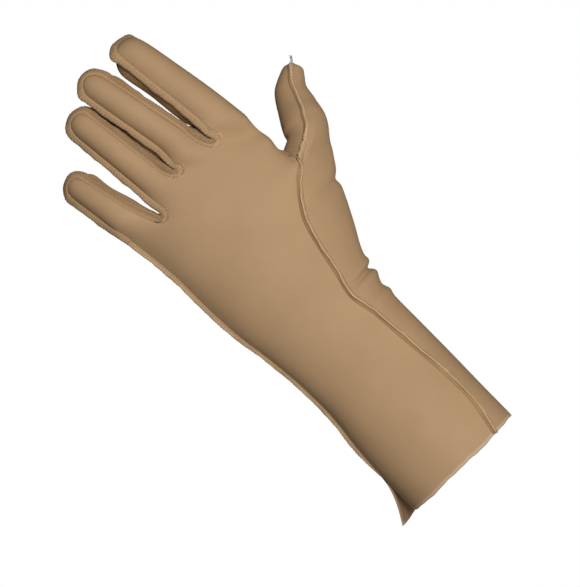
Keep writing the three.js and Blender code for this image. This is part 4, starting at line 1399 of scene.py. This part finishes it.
class GLOVE_PG_seams(bpy.types.PropertyGroup):
    height: length_property("Height", "Height of the standing edge", 2.3 * MM)
    thickness: length_property("Thickness", "Thickness of the standing edge", 1.05 * MM)
    fade: length_property("Fade", "Length over which a seam rises from a crotch", 12 * MM)
    crotch_share: FloatProperty(
        name="Height at a crotch", description="Share of the height at a crotch", subtype="FACTOR",
        default=0.45,
    )
    pitch: length_property("Stitch pitch", "Distance between stitches", 1.7 * MM)
    thread_radius: length_property("Thread radius", "Radius of the overlock thread", 0.125 * MM)
    tail: length_property("Thread tail", "Length of the loose thread at the thumb's tip", 3.6 * MM)
    foot_colour: colour_property("Foot", "Tone of the seam at its foot", (0.455, 0.283, 0.144))
    # Painted highlight on the crest of a pale seam
    crest_highlight_colour: colour_property("Pale crest", "Tone of a pale seam at its crest", (0.69, 0.47, 0.26))
    # Painted shade on the crest of a finger's seam
    crest_shade_colour: colour_property("Crest shade", "Tone of a finger's seam at its crest", (0.30, 0.185, 0.095))
    thread_colour: colour_property("Thread, light", "Lighter tone of the thread", (0.64, 0.445, 0.27))
    thread_dark: colour_property("Thread, dark", "Darker tone of the thread", (0.50, 0.325, 0.175))
    tail_colour: colour_property("Thread tail, pale", "Lighter tone of the loose thread", (0.52, 0.51, 0.48))
    tail_dark: colour_property("Thread tail, dark", "Darker tone of the loose thread", (0.36, 0.35, 0.33))


class GLOVE_PG_stage(bpy.types.PropertyGroup):
    distance: length_property("Camera distance", "Distance of the camera from the glove", 2.5)
    pixel: length_property("Pixel size", "Size of an image pixel at the glove", 0.475 * MM)
    roll: FloatProperty(
        name="Roll", description="Turn of the camera about its view", subtype="ANGLE",
        default=math.radians(45.5),
    )
    centre: FloatVectorProperty(
        name="View centre", description="Point at the middle of the image", size=3, subtype="XYZ",
        unit="LENGTH", default=(-0.0015, -0.008, 0.1150),
    )
    floor: length_property("Floor", "Height of the floor", -0.30)
    floor_width: length_property("Floor width", "Width of the floor", 3.0)
    floor_colour: colour_property("Floor colour", "Tone of the floor", (0.86, 0.86, 0.86))
    key_power: power_property("Key light", "Power of the main light", 36.6)
    fill_power: power_property("Fill light", "Power of the side light", 0.3)
    back_power: power_property("Back light", "Power of the light behind the glove", 24)
    sky: FloatProperty(name="Sky", description="Strength of the even light from all round", default=0.016)


class GLOVE_OT_panels(bpy.types.Operator):
    """Make the back panel, and the palm panel with the thumb"""

    bl_idname = "glove.panels"
    bl_label = "Cloth panels"

    def execute(self, context):
        settings = context.scene.glove_cloth
        back_material = cloth_material("Back cloth", settings.back_light, settings.back_dark, settings)
        palm_material = cloth_material("Palm cloth", settings.palm_light, settings.palm_dark, settings)
        back = new_object("back_cloth", panel_mesh("back", settings), back_material)
        palm = new_object("palm_cloth", panel_mesh("palm", settings), palm_material)
        finish_piece(back, "glove_cloth", "back_panel")
        finish_piece(palm, "glove_cloth", "palm_panel", "thumb_panel")
        tuple(settings.back_flat)
        tuple(settings.palm_flat)
        return {"FINISHED"}


class GLOVE_OT_seams(bpy.types.Operator):
    """Make the standing edges of the seams"""

    bl_idname = "glove.seams"
    bl_label = "Raised seams"

    def execute(self, context):
        settings = context.scene.glove_seams
        material = seam_material(settings, context.scene.glove_cloth)
        for seam in SEAM_ORDER:
            piece = new_object(f"seam_{seam}_cloth", flange_mesh(seam, settings), material)
            finish_piece(piece, "seam_cloth", f"seam_{seam}")
        return {"FINISHED"}


class GLOVE_OT_stitches(bpy.types.Operator):
    """Lay the overlock stitches over the seams, and the loose thread at the thumb's tip"""

    bl_idname = "glove.stitches"
    bl_label = "Overlock stitches"

    def execute(self, context):
        settings = context.scene.glove_seams
        thread = thread_material("Overlock thread", settings.thread_colour, settings.thread_dark)
        tree, sockets = stitch_nodes(thread)
        for run in STITCH_RUNS:
            piece = stitched(f"stitches_{run['name']}", run, tree, sockets, settings)
            finish_piece(piece, "seam_cloth")
        loose = thread_material("Loose thread", settings.tail_colour, settings.tail_dark)
        tail = new_object("thread_tail", tail_mesh(settings), loose)
        finish_piece(tail, "seam_cloth")
        return {"FINISHED"}


LIGHTS = table(
    "name place size power",
    ("key_light", (0.6, -2.1, 0.4), 0.7, "key_power"),
    ("fill_light", (-1.3, -1.5, 0.2), 1.4, "fill_power"),
    ("back_light", (0.0, 2.2, 0.3), 0.9, "back_power"),
)
FLOOR_SHADE = 0.985


def floor_mesh(height, width):
    """A plain square floor."""
    half = width / 2
    mesh = bpy.data.meshes.new("studio_floor")
    corners = [(-half, -half, height), (half, -half, height), (half, half, height), (-half, half, height)]
    mesh.from_pydata(corners, [], [(0, 1, 2, 3)])
    return mesh


def area_light(name, place, target, size, power):
    light = bpy.data.lights.new(name, "AREA")
    light.size = size
    light.energy = power
    obj = bpy.data.objects.new(name, light)
    obj.location = place
    obj.rotation_euler = (Vector(target) - Vector(place)).to_track_quat("-Z", "Y").to_euler()
    bpy.context.scene.collection.objects.link(obj)


class GLOVE_OT_stage(bpy.types.Operator):
    """Set the camera, the soft lights, the floor and the white surround"""

    bl_idname = "glove.stage"
    bl_label = "Stage"

    def execute(self, context):
        scene = context.scene
        settings = scene.glove_stage
        material, tree, shader = new_material("Studio floor")
        place = node(tree, "ShaderNodeTexCoord").outputs["Object"]
        tone = group_node(tree, mottle_group(), {"Place": place, "Scale": 3.0})
        colour = tuple(settings.floor_colour)
        pale = blend(tree, tone["Tone"], (*(FLOOR_SHADE * c for c in colour), 1), (*colour, 1))
        tree.links.new(pale, shader["Base Color"])
        shader["Roughness"].default_value = 0.9
        floor = new_object("studio_floor", floor_mesh(settings.floor, settings.floor_width), material)
        centre = Vector(settings.centre)
        for light in LIGHTS:
            power = getattr(settings, light["power"])
            area_light(light["name"], light["place"], centre, light["size"], power)
        world = bpy.data.worlds.new("Studio")
        world.use_nodes = True
        tree = world.node_tree
        seen = node(tree, "ShaderNodeLightPath").outputs["Is Camera Ray"]
        strength = node(tree, "ShaderNodeMapRange", {"Value": seen, "To Min": settings.sky, "To Max": 1.0})
        sky = tree.nodes["Background"].inputs
        sky["Color"].default_value = (1, 1, 1, 1)
        tree.links.new(strength.outputs["Result"], sky["Strength"])
        scene.world = world
        scene.view_settings.view_transform = "Standard"
        camera = bpy.data.cameras.new("camera")
        long_side = max(IMAGE_WIDTH, IMAGE_HEIGHT) * settings.pixel
        camera.lens = camera.sensor_width * settings.distance / long_side
        camera.clip_start = 0.05
        obj = bpy.data.objects.new("camera", camera)
        right = Vector((math.sin(settings.roll), 0, -math.cos(settings.roll)))
        up = Vector((math.cos(settings.roll), 0, math.sin(settings.roll)))
        turn = Matrix((right, up, right.cross(up))).transposed()
        obj.matrix_world = Matrix.Translation(centre - Vector((0, settings.distance, 0))) @ turn.to_4x4()
        scene.collection.objects.link(obj)
        scene.camera = obj
        return {"FINISHED"}


class GLOVE_PT_panel(bpy.types.Panel):
    """Glove settings and the steps that build it"""

    bl_idname = "GLOVE_PT_panel"
    bl_label = "Compression glove"
    bl_space_type = "VIEW_3D"
    bl_region_type = "UI"
    bl_category = "Glove"

    def draw(self, context):
        for settings, operators in (
            ("glove_cloth", ("glove.panels",)),
            ("glove_seams", ("glove.seams", "glove.stitches")),
            ("glove_stage", ("glove.stage",)),
        ):
            box = self.layout.box()
            group = getattr(context.scene, settings)
            for name in group.__annotations__:
                box.prop(group, name)
            for operator in operators:
                box.operator(operator)


CLASSES = (
    GLOVE_PG_cloth,
    GLOVE_PG_seams,
    GLOVE_PG_stage,
    GLOVE_OT_panels,
    GLOVE_OT_seams,
    GLOVE_OT_stitches,
    GLOVE_OT_stage,
    GLOVE_PT_panel,
)


def register():
    for cls in CLASSES:
        bpy.utils.register_class(cls)
    bpy.types.Scene.glove_cloth = PointerProperty(type=GLOVE_PG_cloth)
    bpy.types.Scene.glove_seams = PointerProperty(type=GLOVE_PG_seams)
    bpy.types.Scene.glove_stage = PointerProperty(type=GLOVE_PG_stage)


def unregister():
    del bpy.types.Scene.glove_stage
    del bpy.types.Scene.glove_seams
    del bpy.types.Scene.glove_cloth
    for cls in reversed(CLASSES):
        bpy.utils.unregister_class(cls)


def main():
    register()
    bpy.ops.glove.panels()
    bpy.ops.glove.seams()
    bpy.ops.glove.stitches()
    bpy.ops.glove.stage()


if __name__ == "__main__":
    main()
